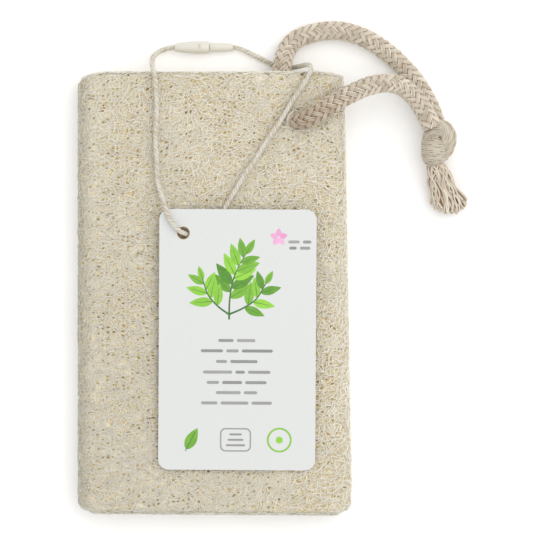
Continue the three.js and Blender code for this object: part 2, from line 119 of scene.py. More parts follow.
class Graph:
    """A node tree that is being written."""

    def __init__(self, tree):
        self.tree = tree
        tree.nodes.clear()

    def node(self, kind, settings=None, values=None):
        """Adds a node, sets it up, fills its sockets, and returns its first output."""
        node = self.tree.nodes.new(kind)
        for name, setting in (settings or {}).items():
            setattr(node, name, setting)
        for key, value in (values or {}).items():
            socket = shown(node.inputs, key)
            if isinstance(value, Value):
                self.tree.links.new(value.socket, socket)
            else:
                socket.default_value = value
        outputs = [socket for socket in node.outputs if socket.enabled]
        return Value(self, outputs[0]) if outputs else None

    def maths(self, operation, *numbers, clamp=False):
        settings = {"operation": operation, "use_clamp": clamp}
        return self.node("ShaderNodeMath", settings, dict(enumerate(numbers)))

    def vectors(self, operation, *vectors):
        return self.node("ShaderNodeVectorMath", {"operation": operation}, dict(enumerate(vectors)))

    def length(self, vector):
        return self.vectors("LENGTH", vector).out("Value")

    def scaled(self, vector, factor):
        values = {"Vector": vector, "Scale": factor}
        return self.node("ShaderNodeVectorMath", {"operation": "SCALE"}, values)

    def x_and_y(self, vector):
        x = self.node("ShaderNodeSeparateXYZ", {}, {"Vector": vector})
        return x, x.out("Y")

    def noise(self, place, scale, detail=2.0, distortion=0.0):
        values = {"Vector": place, "Scale": scale, "Detail": detail, "Distortion": distortion}
        return self.node("ShaderNodeTexNoise", {}, values)

    def cells(self, place, size, feature="F1"):
        """A Voronoi texture whose cells are about that size."""
        settings = {"voronoi_dimensions": "2D", "feature": feature}
        return self.node("ShaderNodeTexVoronoi", settings, {"Vector": place, "Scale": 1.0 / size})

    def between(self, value, low, high):
        """0 below low, 1 above high, and a smooth rise between them."""
        values = {"Value": value, "From Min": low, "From Max": high}
        return self.node("ShaderNodeMapRange", {"interpolation_type": "SMOOTHSTEP"}, values)

    def mixed(self, factor, first, second):
        """A colour between two colours."""
        pair = [c if isinstance(c, Value) else (*c, 1.0) for c in (first, second)]
        values = {"Factor": factor, "A": pair[0], "B": pair[1]}
        return self.node("ShaderNodeMix", {"data_type": "RGBA"}, values)


print("node trees: + - * / add Math nodes")

# %% [markdown]
# ## Finishes
#
# Nearly every finish here is dry and matt, so what tells them apart is colour, fuzz and small
# relief. Images could carry all that, but a finish that is written as sums needs no picture,
# never repeats, and stays sharp from near. Each strand that the node trees make carries a number
# called tone, from 0 to 1, and the finish reads it as an attribute, so that no two neighbouring
# fibres look the same. Patterns that don't follow a strand use Object coordinates, which stay put
# when the camera moves.

# %% A matt finish with a coloured, bumpy surface
def new_finish(name, roughness, sheen=0.0):
    """A material with a Principled shader, and the graph to write its colour in."""
    material = bpy.data.materials.new(name)
    material.use_nodes = True
    graph = Graph(material.node_tree)
    surface = graph.node("ShaderNodeBsdfPrincipled", {}, {"Roughness": roughness})
    graph.node("ShaderNodeOutputMaterial", {}, {"Surface": surface})
    shader = surface.socket.node
    if sheen:
        shader.inputs["Sheen Weight"].default_value = sheen
        shader.inputs["Sheen Roughness"].default_value = 0.5
    return material, graph, shader


def feed(graph, shader, colour, height=None, depth=0.0002, strength=0.5):
    """Links a colour, and a height through a Bump node, to the shader."""
    graph.tree.links.new(colour.socket, shader.inputs["Base Color"])
    if height is not None:
        values = {"Height": height, "Distance": depth, "Strength": strength}
        bump = graph.node("ShaderNodeBump", {}, values)
        graph.tree.links.new(bump.socket, shader.inputs["Normal"])


def object_place(graph):
    return graph.node("ShaderNodeTexCoord").out("Object")


def attribute(graph, name, output="Fac"):
    return graph.node("ShaderNodeAttribute", {"attribute_name": name}).out(output)


print("finish helpers ready")

# %% [markdown]
# ### Loofah fibre
#
# Fibres at the skin are sun-bleached to a pale cream. Those that lie deeper keep the gourd's
# golden colour. So there are two finishes, and a fibre's tone picks its place between the pale
# and the warm end of each. Broad, faint patches of greyer tone run over the whole pad at random,
# and painted shade greys it more towards its lower left, away from the lamp. The left fold and
# the lower edge turn away from the lamp, and painted shade makes them greyer still.

# %% Fibre finishes
CREAM = (0.985, 0.965, 0.89)
STRAW = (0.91, 0.86, 0.73)
GREY_CREAM = (0.79, 0.77, 0.69)
DEEP_STRAW = (0.76, 0.62, 0.32)
FOLD_SHADE = (0.60, 0.575, 0.49)
LEFT_FOLD = (-0.0485, -0.0555)
LOWER_EDGE = (-0.0868, -0.0895)


def fibre_finish(name, pale, warm, patch):
    material, graph, shader = new_finish(name, 0.72, sheen=0.15)
    place = object_place(graph)
    own = graph.mixed(attribute(graph, "tone"), warm, pale)
    patches = graph.between(graph.noise(place, 45.0, detail=3.0), 0.45, 0.75)
    x, y = graph.x_and_y(place)
    # Painted shade: the pad greys towards its lower left, away from the lamp.
    lower_left_shade = graph.between(x * 0.8 + y * 0.35, 0.012, -0.06)
    patched = graph.mixed(patches * 0.35 + lower_left_shade * 0.75, own, patch)
    # Painted shade: the left fold and the lower edge turn greyer.
    painted_fold_shade = graph.between(x, *LEFT_FOLD) * 0.6 + graph.between(y, *LOWER_EDGE) * 0.45
    fuzz = graph.noise(place, 3200.0, detail=3.0)
    colour = graph.mixed(painted_fold_shade, patched, FOLD_SHADE)
    feed(graph, shader, colour, fuzz, depth=0.00008, strength=0.5)
    return material


skin_fibre = fibre_finish("skin_fibre", CREAM, STRAW, GREY_CREAM)
inner_fibre = fibre_finish("inner_fibre", STRAW, DEEP_STRAW, STRAW)
print("fibre finishes:", skin_fibre.name, inner_fibre.name)

# %% [markdown]
# ### The pad's inside
#
# Pressed and dried, the deeper fibres look like felt with small pores in it. Both come from
# Voronoi textures, laid over the pad like a sheet that is wrapped round it. The lines between
# their cells make the felt's threads, once a little noise has bent them. The cells of another are
# the net's meshes: each cell's own random number says how wide its pore is, or if it is closed. A
# pore is a slit rather than a circle, and it leans the way that its neighbours do. The middles of
# the widest pores are painted dark gold, as painted shade down the hole.

# %% Inside finish
MESH_SIZE = 0.0020
FELT = (0.76, 0.66, 0.44)
GOLDEN_FELT = (0.66, 0.51, 0.22)
THREAD = (0.86, 0.82, 0.71)
GOLD = (0.66, 0.48, 0.16)
DARK_GOLD = (0.30, 0.20, 0.07)


def pores(graph, sheet):
    """For a place on the sheet: the way from its pore's middle, its length, and the pore's width."""
    cells = graph.cells(sheet, MESH_SIZE)
    away = graph.vectors("SUBTRACT", sheet, cells.out("Position"))
    lean = (graph.noise(sheet, 22.0, detail=1.0) - 0.5) * 5.0
    turn = {"rotation_type": "Z_AXIS"}
    leaning = graph.node("ShaderNodeVectorRotate", turn, {"Vector": away, "Angle": lean})
    distance = graph.length(graph.vectors("MULTIPLY", leaning, (0.75, 1.35, 1.0)))
    draw, _ = graph.x_and_y(cells.out("Color"))
    openness = graph.between(graph.noise(sheet, 75.0, detail=1.0), 0.35, 0.65)
    width = graph.between(draw, 0.32, 0.95) * (openness * 0.6 + 0.5)
    return away, distance, width


def threads(graph, sheet, cell_size, width):
    """1 on the lines between the cells of a bent Voronoi texture, and 0 inside them."""
    drift = graph.noise(sheet, 900.0, detail=1.0).out("Color")
    bent = graph.vectors("ADD", sheet, graph.scaled(drift, cell_size * 0.6))
    return graph.between(graph.cells(bent, cell_size, "DISTANCE_TO_EDGE"), width, width * 0.35)


def inside_finish():
    material, graph, shader = new_finish("net_inside", 0.85)
    sheet = attribute(graph, "sheet", "Vector")
    _, distance, width = pores(graph, sheet)
    rim = (width * 0.18 + 0.125) * MESH_SIZE
    pore = graph.between(distance / rim, 1.0, 0.6) * graph.between(width, 0.03, 0.2)
    # Painted shade: the middles of the widest pores turn dark gold.
    deep = graph.between(distance / rim, 0.7, 0.25) * graph.between(width, 0.7, 0.95)
    fine, coarse = threads(graph, sheet, 0.0012, 0.17), threads(graph, sheet, 0.0021, 0.11)
    lines = graph.maths("MAXIMUM", fine, coarse)
    golden_here = graph.between(graph.noise(sheet, 55.0, detail=2.0), 0.38, 0.62)
    felt = graph.mixed(lines, graph.mixed(golden_here, FELT, GOLDEN_FELT), THREAD)
    colour = graph.mixed(deep, graph.mixed(pore, felt, GOLD), DARK_GOLD)
    feed(graph, shader, colour, lines * 0.5 - pore, depth=0.0004, strength=0.7)
    return material


net_inside = inside_finish()
print("inside finish:", net_inside.name)

# %% [markdown]
# ### Cotton yarn, for the rope, and string
#
# Undyed cotton is a warm grey-cream. Short fibres stand off the yarn and scatter the light, which
# Sheen imitates. The gaps between the yarns get painted shade, darker and browner than the
# renderer's own shade would make them, for the light that bounces between yarns of that colour.
# So the node trees also give each yarn a number called crest: high on its outer side, and low
# where it lies in a gap, where the deep colour is painted. Where the rope goes into the pad it
# lies in the net's shade, and that shade is painted too: a wider part of each yarn is dark.

# %% Cotton finishes
ROPE_ENTRY = (0.034, 0.068, 0.018)
ENTRY_SHADE_REACH = (0.040, 0.004)
COTTON = (0.56, 0.48, 0.375)
COTTON_PALE = (0.815, 0.75, 0.635)
COTTON_DEEP = (0.38, 0.26, 0.155)
KNOT_COTTON = (0.52, 0.465, 0.375)
KNOT_PALE = (0.70, 0.655, 0.555)
STRING_PALE = (0.685, 0.665, 0.60)
STRING_DEEP = (0.52, 0.45, 0.34)
STRING_GREY = (0.69, 0.65, 0.56)


def yarn_finish(name, colours, ply_scale, crease, entry_shading=0.0):
    """Pale, middle and deep colours; the deep one is painted shade, and crease says between which crests it
    fades out.
    """
    pale, mid, deep = colours
    material, graph, shader = new_finish(name, 0.9, sheen=0.35)
    place = object_place(graph)
    # Painted shade: near the rope's entry into the pad each yarn darkens and takes more of the deep colour.
    from_entry = graph.length(graph.vectors("SUBTRACT", place, ROPE_ENTRY))
    painted_entry_shade = graph.between(from_entry, *ENTRY_SHADE_REACH) * entry_shading
    clean = graph.mixed(attribute(graph, "tone"), mid, pale)
    # Painted shade: a low crest, in a gap or under a crossing, turns the yarn towards the deep colour.
    raised = graph.between(attribute(graph, "crest") - painted_entry_shade * 0.5, *crease)
    smudge = graph.between(graph.noise(place, 90.0, detail=3.0), 0.5, 0.8) * 0.3
    colour = graph.mixed(smudge, graph.mixed(raised, deep, clean), mid)
    ply = graph.noise(place, ply_scale, detail=3.0, distortion=0.6)
    feed(graph, shader, graph.mixed(painted_entry_shade * 0.2, colour, deep), ply, depth=0.00012, strength=0.6)
    return material


ROPE_COLOURS = (COTTON_PALE, COTTON, COTTON_DEEP)
cotton = yarn_finish("cotton_yarn", ROPE_COLOURS, 2600.0, (0.3, 0.88), entry_shading=0.55)
cotton_knot = yarn_finish("cotton_knot", (KNOT_PALE, KNOT_COTTON, COTTON_DEEP), 2600.0, (0.3, 0.88))
# Painted shade: a darker cotton for the yarns that fill the tassel from inside.
cotton_shade = yarn_finish("cotton_shade", (COTTON, COTTON_DEEP, COTTON_DEEP), 2600.0, (0.2, 0.85))
STRING_COLOURS = (STRING_PALE, STRING_GREY, STRING_DEEP)
string_finish = yarn_finish("string_yarn", STRING_COLOURS, 3000.0, (0.4, 0.9))
print("cotton finishes:", cotton.name, string_finish.name)

# %% [markdown]
# ### Card, print and plastic
#
# The card is uncoated paper with a few darker fibres pressed into it: stretched noise with a high
# threshold leaves only short flecks. The print sinks into such paper, so it is matt too, and its
# colour is a little uneven, as with water paint. The lock is moulded plastic, the only surface
# here with a soft gloss.

# %% Card, print and plastic finishes
CARD_WHITE, CARD_CLOUD = (0.695, 0.708, 0.70), (0.675, 0.69, 0.68)
CARD_FLECK = (0.58, 0.57, 0.52)
SEAL_CREAM, SEAL_SHADE = (0.74, 0.715, 0.64), (0.67, 0.64, 0.56)


def card_finish():
    material, graph, shader = new_finish("card_paper", 0.78)
    place = object_place(graph)
    stretched = graph.vectors("MULTIPLY", place, (1.0, 0.35, 1.0))
    flecks = graph.between(graph.noise(stretched, 1500.0, detail=2.0), 0.68, 0.76) * 0.5
    paper = graph.mixed(graph.noise(place, 160.0, detail=4.0) * 0.5, CARD_WHITE, CARD_CLOUD)
    grain = graph.noise(place, 2400.0, detail=3.0)
    feed(graph, shader, graph.mixed(flecks, paper, CARD_FLECK), grain, 0.00003, 0.35)
    return material


def paint_finish(name, dark, light):
    """Water paint: each leaf has a tone of its own, and the colour pools unevenly."""
    material, graph, shader = new_finish(name, 0.8)
    pool = graph.noise(object_place(graph), 420.0, detail=3.0)
    amount = graph.maths("ADD", pool * 0.4, attribute(graph, "tone") * 0.8, clamp=True)
    feed(graph, shader, graph.mixed(amount, dark, light), pool, 0.00002, 0.2)
    return material


def plastic_finish():
    material, graph, shader = new_finish("seal_plastic", 0.36)
    place = object_place(graph)
    colour = graph.mixed(graph.noise(place, 260.0, detail=2.0) * 0.6, SEAL_CREAM, SEAL_SHADE)
    feed(graph, shader, colour, graph.noise(place, 1800.0, detail=2.0), 0.00003, 0.25)
    return material


card_paper = card_finish()
leaf_paint = paint_finish("leaf_paint", (0.03, 0.15, 0.025), (0.31, 0.66, 0.07))
stem_paint = paint_finish("stem_paint", (0.03, 0.10, 0.03), (0.10, 0.26, 0.07))
grey_paint = paint_finish("grey_paint", (0.24, 0.24, 0.245), (0.36, 0.36, 0.36))
# Painted shade: the brown of the ring over the tag's hole.
hole_edge_paint = paint_finish("hole_edge_paint", (0.16, 0.085, 0.035), (0.36, 0.21, 0.10))
petal_paint = paint_finish("petal_paint", (0.70, 0.25, 0.50), (0.88, 0.50, 0.72))
seal_plastic = plastic_finish()
print("finishes made:", len(bpy.data.materials))

# %% [markdown]
# ## Node trees for what repeats
#
# Three things here repeat by the hundred: fibres over the pad, yarns along a path, and plain
# tubes along drawn lines. Array and Curve modifiers could do the simplest of them, but not give
# each strand its own course and tone. So each gets one Geometry Nodes tree with named inputs, and
# every piece that needs it fills in its own sizes. The result is turned into a plain mesh at
# once.

# %% Make a tree, use it, and keep its mesh
SOCKET_KINDS = {float: "NodeSocketFloat", int: "NodeSocketInt", tuple: "NodeSocketVector"}


def new_group(name, inputs, objects=()):
    """A Geometry Nodes tree with those inputs, those objects and a material, and its graph."""
    tree = bpy.data.node_groups.new(name, "GeometryNodeTree")
    add = tree.interface.new_socket
    add("Geometry", in_out="INPUT", socket_type="NodeSocketGeometry")
    for label, value in inputs.items():
        add(label, in_out="INPUT", socket_type=SOCKET_KINDS[type(value)]).default_value = value
    for label in objects:
        add(label, in_out="INPUT", socket_type="NodeSocketObject")
    add("Material", in_out="INPUT", socket_type="NodeSocketMaterial")
    add("Geometry", in_out="OUTPUT", socket_type="NodeSocketGeometry")
    graph = Graph(tree)
    return graph, graph.node("NodeGroupInput")


def end_group(graph, geometry, material):
    """Every tree ends the same way: no instances are left, and the faces have their finish."""
    real = graph.node("GeometryNodeRealizeInstances", {}, {"Geometry": geometry})
    smooth = graph.node("GeometryNodeSetShadeSmooth", {}, {0: real})
    done = graph.node("GeometryNodeSetMaterial", {}, {"Geometry": smooth, "Material": material})
    graph.node("NodeGroupOutput", {}, {"Geometry": done})
    return graph.tree


def kept_as(graph, geometry, name, value, kind="FLOAT", domain="POINT"):
    """Stores a value for each point, or each line, of a geometry under that name."""
    values = {"Geometry": geometry, "Name": name, "Value": value}
    settings = {"data_type": kind, "domain": domain}
    return graph.node("GeometryNodeStoreNamedAttribute", settings, values)


def named(graph, name, kind="FLOAT"):
    return graph.node("GeometryNodeInputNamedAttribute", {"data_type": kind}, {"Name": name})


def drawn(graph, low, high, seed, **more):
    """A random number for each point or line."""
    values = {"Min": low, "Max": high, "Seed": seed, **more}
    return graph.node("FunctionNodeRandomValue", {"data_type": "FLOAT"}, values)


def moved(graph, geometry, **values):
    return graph.node("GeometryNodeSetPosition", {}, {"Geometry": geometry, **values})


def compared(graph, operation, first, second, **more):
    settings = {"data_type": "FLOAT", "operation": operation}
    return graph.node("FunctionNodeCompare", settings, {"A": first, "B": second, **more})


def on_surface(graph, mesh, value, place):
    """What the mesh has at its point nearest to that place."""
    values = {"Mesh": mesh, "Value": value, "Sample Position": place}
    return graph.node("GeometryNodeSampleNearestSurface", {"data_type": "FLOAT_VECTOR"}, values)


def tube(graph, curve, sides, radius, **more):
    """A round tube along each curve, closed at its ends."""
    circle = {"Resolution": sides, "Radius": radius}
    section = graph.node("GeometryNodeCurvePrimitiveCircle", {}, circle)
    values = {"Curve": curve, "Profile Curve": section, **more, "Fill Caps": True}
    return graph.node("GeometryNodeCurveToMesh", {}, values)


def plain_mesh(piece):
    """Leaves what a piece's modifiers make of it as its own mesh."""
    made = piece.evaluated_get(bpy.context.evaluated_depsgraph_get())
    mesh = bpy.data.meshes.new_from_object(made)
    mesh.name = piece.name
    piece.modifiers.clear()
    piece.data = mesh


def grow(piece, group, values):
    """Runs a tree on a piece and leaves the result as the piece's plain mesh."""
    modifier = piece.modifiers.new(group.name, "NODES")
    modifier.node_group = group
    for item in group.interface.items_tree:
        if item.in_out == "INPUT" and item.name in values:
            modifier[item.identifier] = values[item.name]
    plain_mesh(piece)
    triangles = sum(len(face.vertices) - 2 for face in piece.data.polygons)
    print(f"{piece.name}: {triangles} triangles")
    return piece


def new_piece(name, points, edges=(), faces=()):
    mesh = bpy.data.meshes.new(name)
    mesh.from_pydata(*([tuple(row) for row in rows] for rows in (points, edges, faces)))
    piece = bpy.data.objects.new(name, mesh)
    bpy.context.scene.collection.objects.link(piece)
    return piece


def line_piece(name, lines, closed=False):
    """A piece whose mesh is only lines, for a tree that lays tubes or yarns along them."""
    points, edges = [], []
    for line in lines:
        first = len(points)
        points.extend(line)
        edges.extend((k, k + 1) for k in range(first, len(points) - 1))
        if closed:
            edges.append((len(points) - 1, first))
    return new_piece(name, points, edges)


def finish_piece(piece, material, smooth=True):
    """Turns a closed piece's faces outwards and gives it its finish; a smooth one is also merged."""
    work = bmesh.new()
    work.from_mesh(piece.data)
    if smooth:
        bmesh.ops.remove_doubles(work, verts=work.verts, dist=1e-6)
    bmesh.ops.recalc_face_normals(work, faces=work.faces)
    for face in work.faces:
        face.smooth = smooth
    work.to_mesh(piece.data)
    work.free()
    piece.data.materials.append(material)
    return piece


def ring_faces(rings, sides):
    """The faces of a tube whose points are given ring by ring."""
    faces = []
    for k in range(rings - 1):
        for s in range(sides):
            a, b = k * sides + s, k * sides + (s + 1) % sides
            faces.append((a, b, b + sides, a + sides))
    return faces


def dress(pieces, node=None):
    """Puts pieces on the frame's body, and hides the node that they stand for."""
    for piece in pieces:
        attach(piece, "root")
        if node:
            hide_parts(node)


print("tree helpers ready")

# %% [markdown]
# ### Yarns along a path
#
# A braid is made of carriers: half of them wind one way round the rope and half the other way,
# and each one goes over two and under two of the others. Bump on a smooth tube could imitate it,
# but the rope's outline would stay smooth, so the yarns are real tubes. Where they run is plain
# arithmetic. A carrier's angle grows with the length along the path. Its height follows a cosine
# of the number of carriers that it has crossed, so where one is up, the other is down. With all
# carriers going one way and no weave, the same tree lays a twisted string.
#
# A yarn's crest is measured on the finished tubes, as their distance from the path, raised where
# the yarn lies over another and lowered where it lies under. The finish paints a low crest as
# shade, and the core, which has no crest, mostly in the deep shade colour.

# %% The yarn tree
def yarn_group():
    inputs = {
        "Carriers": 16, "Yarns": 3, "Two Way": 1.0, "Lay Radius": 0.00335, "Weave": 0.00036,
        "Pitch": 0.025, "Yarn Radius": 0.00036, "Yarn Spread": 0.25, "Core Radius": 0.0029,
        "Shade Under": 0.2, "Sides": 4, "Seed": 1,
    }
    graph, given = new_group("yarns_along_a_path", inputs)
    carriers, yarns, yarn_radius = (given.out(k) for k in ("Carriers", "Yarns", "Yarn Radius"))
    curve = graph.node("GeometryNodeMeshToCurve", {}, {"Mesh": given.out("Geometry")})
    amount = {"Geometry": curve, "Amount": carriers * yarns}
    copies = graph.node("GeometryNodeDuplicateElements", {"domain": "SPLINE"}, amount)
    index = copies.out("Duplicate Index")
    carrier = graph.maths("FLOOR", index / yarns)
    yarn = index - carrier * yarns
    slot = graph.maths("FLOOR", carrier / 2.0)
    odd = (carrier - slot * 2.0) * given.out("Two Way")
    way = 1.0 - odd * 2.0
    turns = graph.node("GeometryNodeSplineParameter").out("Length") / given.out("Pitch")
    start = (carrier - odd) / carriers
    spread = (yarn - (yarns - 1.0) / 2.0) * given.out("Yarn Spread")
    angle = (start + way * turns) * math.tau + spread
    crossed = turns * carriers + way * slot * 2.0 - (1.0 - way / 2.0)
    wave = graph.maths("COSINE", crossed * (math.pi / 2.0)) * 1.5
    height = graph.maths("MAXIMUM", graph.maths("MINIMUM", wave, 1.0), -1.0)
    radius = given.out("Lay Radius") + given.out("Weave") * height
    normal = graph.node("GeometryNodeInputNormal")
    side = graph.vectors("CROSS_PRODUCT", graph.node("GeometryNodeInputTangent"), normal)
    across = graph.scaled(normal, graph.maths("COSINE", angle) * radius)
    along_side = graph.scaled(side, graph.maths("SINE", angle) * radius)
    marked = kept_as(graph, copies, "tone", drawn(graph, 0.0, 1.0, given.out("Seed"), ID=index))
    marked = kept_as(graph, marked, "middle", radius)
    marked = kept_as(graph, marked, "over", height)
    laid = moved(graph, marked, Offset=graph.vectors("ADD", across, along_side))
    tubes = tube(graph, laid, given.out("Sides"), yarn_radius)
    nearest = {0: given.out("Geometry")}
    path = graph.node("GeometryNodeProximity", {"target_element": "EDGES"}, nearest)
    outer = (path.out("Distance") - named(graph, "middle")) / yarn_radius
    # Crest, for painted shade: low in the gaps between yarns and where a yarn goes under another.
    crest = outer * 0.5 + named(graph, "over") * given.out("Shade Under") + 0.4
    tubes = kept_as(graph, tubes, "crest", crest)
    # The core has no crest, so the finish paints it in the deep shade colour.
    both = graph.node("GeometryNodeJoinGeometry")
    for part in (tube(graph, curve, 10, given.out("Core Radius")), tubes):
        graph.tree.links.new(part.socket, both.socket.node.inputs["Geometry"])
    return end_group(graph, both, given.out("Material"))


yarns_along_a_path = yarn_group()
print("tree:", yarns_along_a_path.name)

# %% [markdown]
# ### Tubes along lines
#
# The knot's band and the tassel are loose yarns whose courses are drawn one by one. This short
# tree turns each line into a tube with its own tone. Its crest is high where the tube faces away
# from the middle of the bundle and low where it faces in, and the finish paints a low crest as
# shade.

# %% The tube tree
def tube_group():
    inputs = {
        "Radius": 0.0003, "Sides": 5, "Lightest": 1.0, "Darkest": 0.0,
        "Middle": (0.0, 0.0, 0.0), "Seed": 1,
    }
    graph, given = new_group("tubes_along_lines", inputs)
    curve = graph.node("GeometryNodeMeshToCurve", {}, {"Mesh": given.out("Geometry")})
    tone = drawn(graph, given.out("Darkest"), given.out("Lightest"), given.out("Seed"))
    marked = kept_as(graph, curve, "tone", tone, domain="CURVE")
    tubes = tube(graph, marked, given.out("Sides"), given.out("Radius"))
    place = graph.node("GeometryNodeInputPosition")
    away = graph.vectors("SUBTRACT", place, given.out("Middle"))
    outward = graph.vectors("NORMALIZE", away)
    normal = graph.node("GeometryNodeInputNormal")
    facing = graph.vectors("DOT_PRODUCT", normal, outward).out("Value")
    # Crest, for painted shade: low where a tube faces into the bundle.
    shaded = kept_as(graph, tubes, "crest", facing * 0.6 + 0.32)
    return end_group(graph, shaded, given.out("Material"))


tubes_along_lines = tube_group()
print("tree:", tubes_along_lines.name)

# %% [markdown]
# ### Fibres over a surface
#
# The net is laid from short fibres. A hair system could lay them, but hair isn't a mesh, so it
# would be lost when the pieces are made plain meshes. This tree scatters points evenly over a
# skin, and lays a line at each one, in a direction that swirls slowly over the pad. Noise bends
# the lines where they lie, so neighbours bend together. The pores push them aside, in the same
# pattern that colours the inside. Then each point is brought back to the skin and sunk a little
# way under it, and no fibre may come nearer to the rope than its radius.

# %% The fibre tree
def fibre_group():
    inputs = {
        "Zone": 1.0, "Spacing": 0.0015, "Length": 0.0052, "Radius": 0.00022, "Steps": 5,
        "Shallow": 0.0003, "Deep": 0.0009, "Grain": (0.0, 1.0, 0.0), "Main Angle": 0.3,
        "Crossing": 0.6, "Swirl": 2.2, "Bend": 0.0034, "Pore Room": 0.0008,
        "Overhang": 0.0010, "Rope Room": 0.0041, "Seed": 1,
    }
    graph, given = new_group("fibres_over_a_surface", inputs, objects=["Rope"])
    skin, seed, grain = (given.out(k) for k in ("Geometry", "Seed", "Grain"))
    place = graph.node("GeometryNodeInputPosition")

    def own_draw(low, high, step):
        return drawn(graph, low, high, seed + step)

    def on_skin(value):
        return on_surface(graph, skin, value, place)

    # Scatter the points, and turn a line to its own direction at each.
    in_zone = compared(graph, "EQUAL", named(graph, "zone"), given.out("Zone"), Epsilon=0.1)
    scatter = {"Mesh": skin, "Selection": in_zone, "Distance Min": given.out("Spacing"),
               "Density Max": 4.0e6, "Density Factor": 1.0, "Seed": seed}
    settings = {"distribute_method": "POISSON"}
    points = graph.node("GeometryNodeDistributePointsOnFaces", settings, scatter)
    normal = points.out("Normal")
    around = graph.vectors("NORMALIZE", graph.vectors("CROSS_PRODUCT", grain, normal))
    along = graph.vectors("CROSS_PRODUCT", normal, around)
    swirl = (graph.noise(place, 34.0, detail=1.0) - 0.5) * given.out("Swirl")
    angle = given.out("Main Angle") + swirl + own_draw(-1.0, 1.0, 3.0) * given.out("Crossing")
    cosine = graph.scaled(around, graph.maths("COSINE", angle))
    sine = graph.scaled(along, graph.maths("SINE", angle))
    axes = {"Primary Axis": graph.vectors("ADD", cosine, sine), "Secondary Axis": normal}
    turn = {"primary_axis": "X", "secondary_axis": "Z"}
    rotation = graph.node("FunctionNodeAxesToRotation", turn, axes)
    marked = kept_as(graph, points, "tone", own_draw(0.0, 1.0, 5.0))
    marked = kept_as(graph, marked, "level", own_draw(0.0, 1.0, 7.0))
    ends = {"Start": (-0.5, 0.0, 0.0), "End": (0.5, 0.0, 0.0)}
    line = graph.node("GeometryNodeCurvePrimitiveLine", {}, ends)
    count = {"Curve": line, "Count": given.out("Steps") + 1.0}
    stepped = graph.node("GeometryNodeResampleCurve", {}, count)
    size = own_draw(0.55, 1.25, 9.0) * given.out("Length")
    laying = {"Points": marked, "Instance": stepped, "Rotation": rotation, "Scale": size}
    laid = graph.node("GeometryNodeInstanceOnPoints", {}, laying)
    lines = graph.node("GeometryNodeRealizeInstances", {}, {"Geometry": laid})

    # Bend the lines, and cut off what goes past the skin's edge.
    field = graph.noise(place, 330.0, detail=1.0).out("Color")
    bend = graph.scaled(graph.vectors("SUBTRACT", field, (0.5, 0.5, 0.5)), given.out("Bend"))
    bent = moved(graph, lines, Offset=bend)
    astray = graph.length(graph.vectors("SUBTRACT", place, on_skin(place)))
    cut_off = {"Geometry": bent, "Selection": compared(graph, "GREATER_THAN", astray, given.out("Overhang"))}
    kept = graph.node("GeometryNodeDeleteGeometry", {"domain": "POINT"}, cut_off)

    # Push the fibres out of the pores.
    away, distance, width = pores(graph, on_skin(named(graph, "sheet", "FLOAT_VECTOR")))
    rim = graph.between(width, 0.0, 0.3) * given.out("Pore Room")
    push = graph.maths("MAXIMUM", rim - distance, 0.0) / (distance + 0.00002)
    shove, shove_up = graph.x_and_y(graph.scaled(away, push))
    facing = on_skin(graph.node("GeometryNodeInputNormal"))
    across = graph.vectors("NORMALIZE", graph.vectors("CROSS_PRODUCT", grain, facing))
    upward = graph.vectors("CROSS_PRODUCT", facing, across)
    aside = graph.vectors("ADD", graph.scaled(across, shove), graph.scaled(upward, shove_up))
    parted = moved(graph, kept, Offset=aside)

    # Sink them under the skin, each to its own depth, and keep the rope's way clear.
    part = graph.node("GeometryNodeSplineParameter").out("Factor")
    own = named(graph, "level")
    dip = graph.maths("SINE", part * 11.0 + own * 40.0) * 0.0001
    sunk = given.out("Shallow") + (given.out("Deep") - given.out("Shallow")) * own + dip
    target = graph.vectors("SUBTRACT", on_skin(place), graph.scaled(facing, sunk))
    settled = moved(graph, parted, Position=target)
    rope = graph.node("GeometryNodeObjectInfo", {}, {"Object": given.out("Rope")}).out("Geometry")
    near = graph.node("GeometryNodeProximity", {"target_element": "EDGES"}, {0: rope})
    clear = graph.vectors("NORMALIZE", graph.vectors("SUBTRACT", place, near))
    beside = graph.vectors("ADD", near, graph.scaled(clear, given.out("Rope Room")))
    inside = compared(graph, "LESS_THAN", near.out("Distance"), given.out("Rope Room"))
    opened = moved(graph, settled, Selection=inside, Position=beside)
    taper = graph.maths("SINE", part * math.pi) * 0.45 + 0.55
    tubes = tube(graph, opened, 3, given.out("Radius"), Scale=taper * (own * 0.4 + 0.8))
    return end_group(graph, tubes, given.out("Material"))


fibres_over_a_surface = fibre_group()
print("tree:", fibres_over_a_surface.name)

# %% [markdown]
# ## Paths
#
# The rope and the string follow listed points, the same ones as the frame's. A
# Catmull-Rom curve goes through all its points. The centripetal kind doesn't overshoot where they
# stand unevenly, and it is cut into even steps, because the node trees count on them.

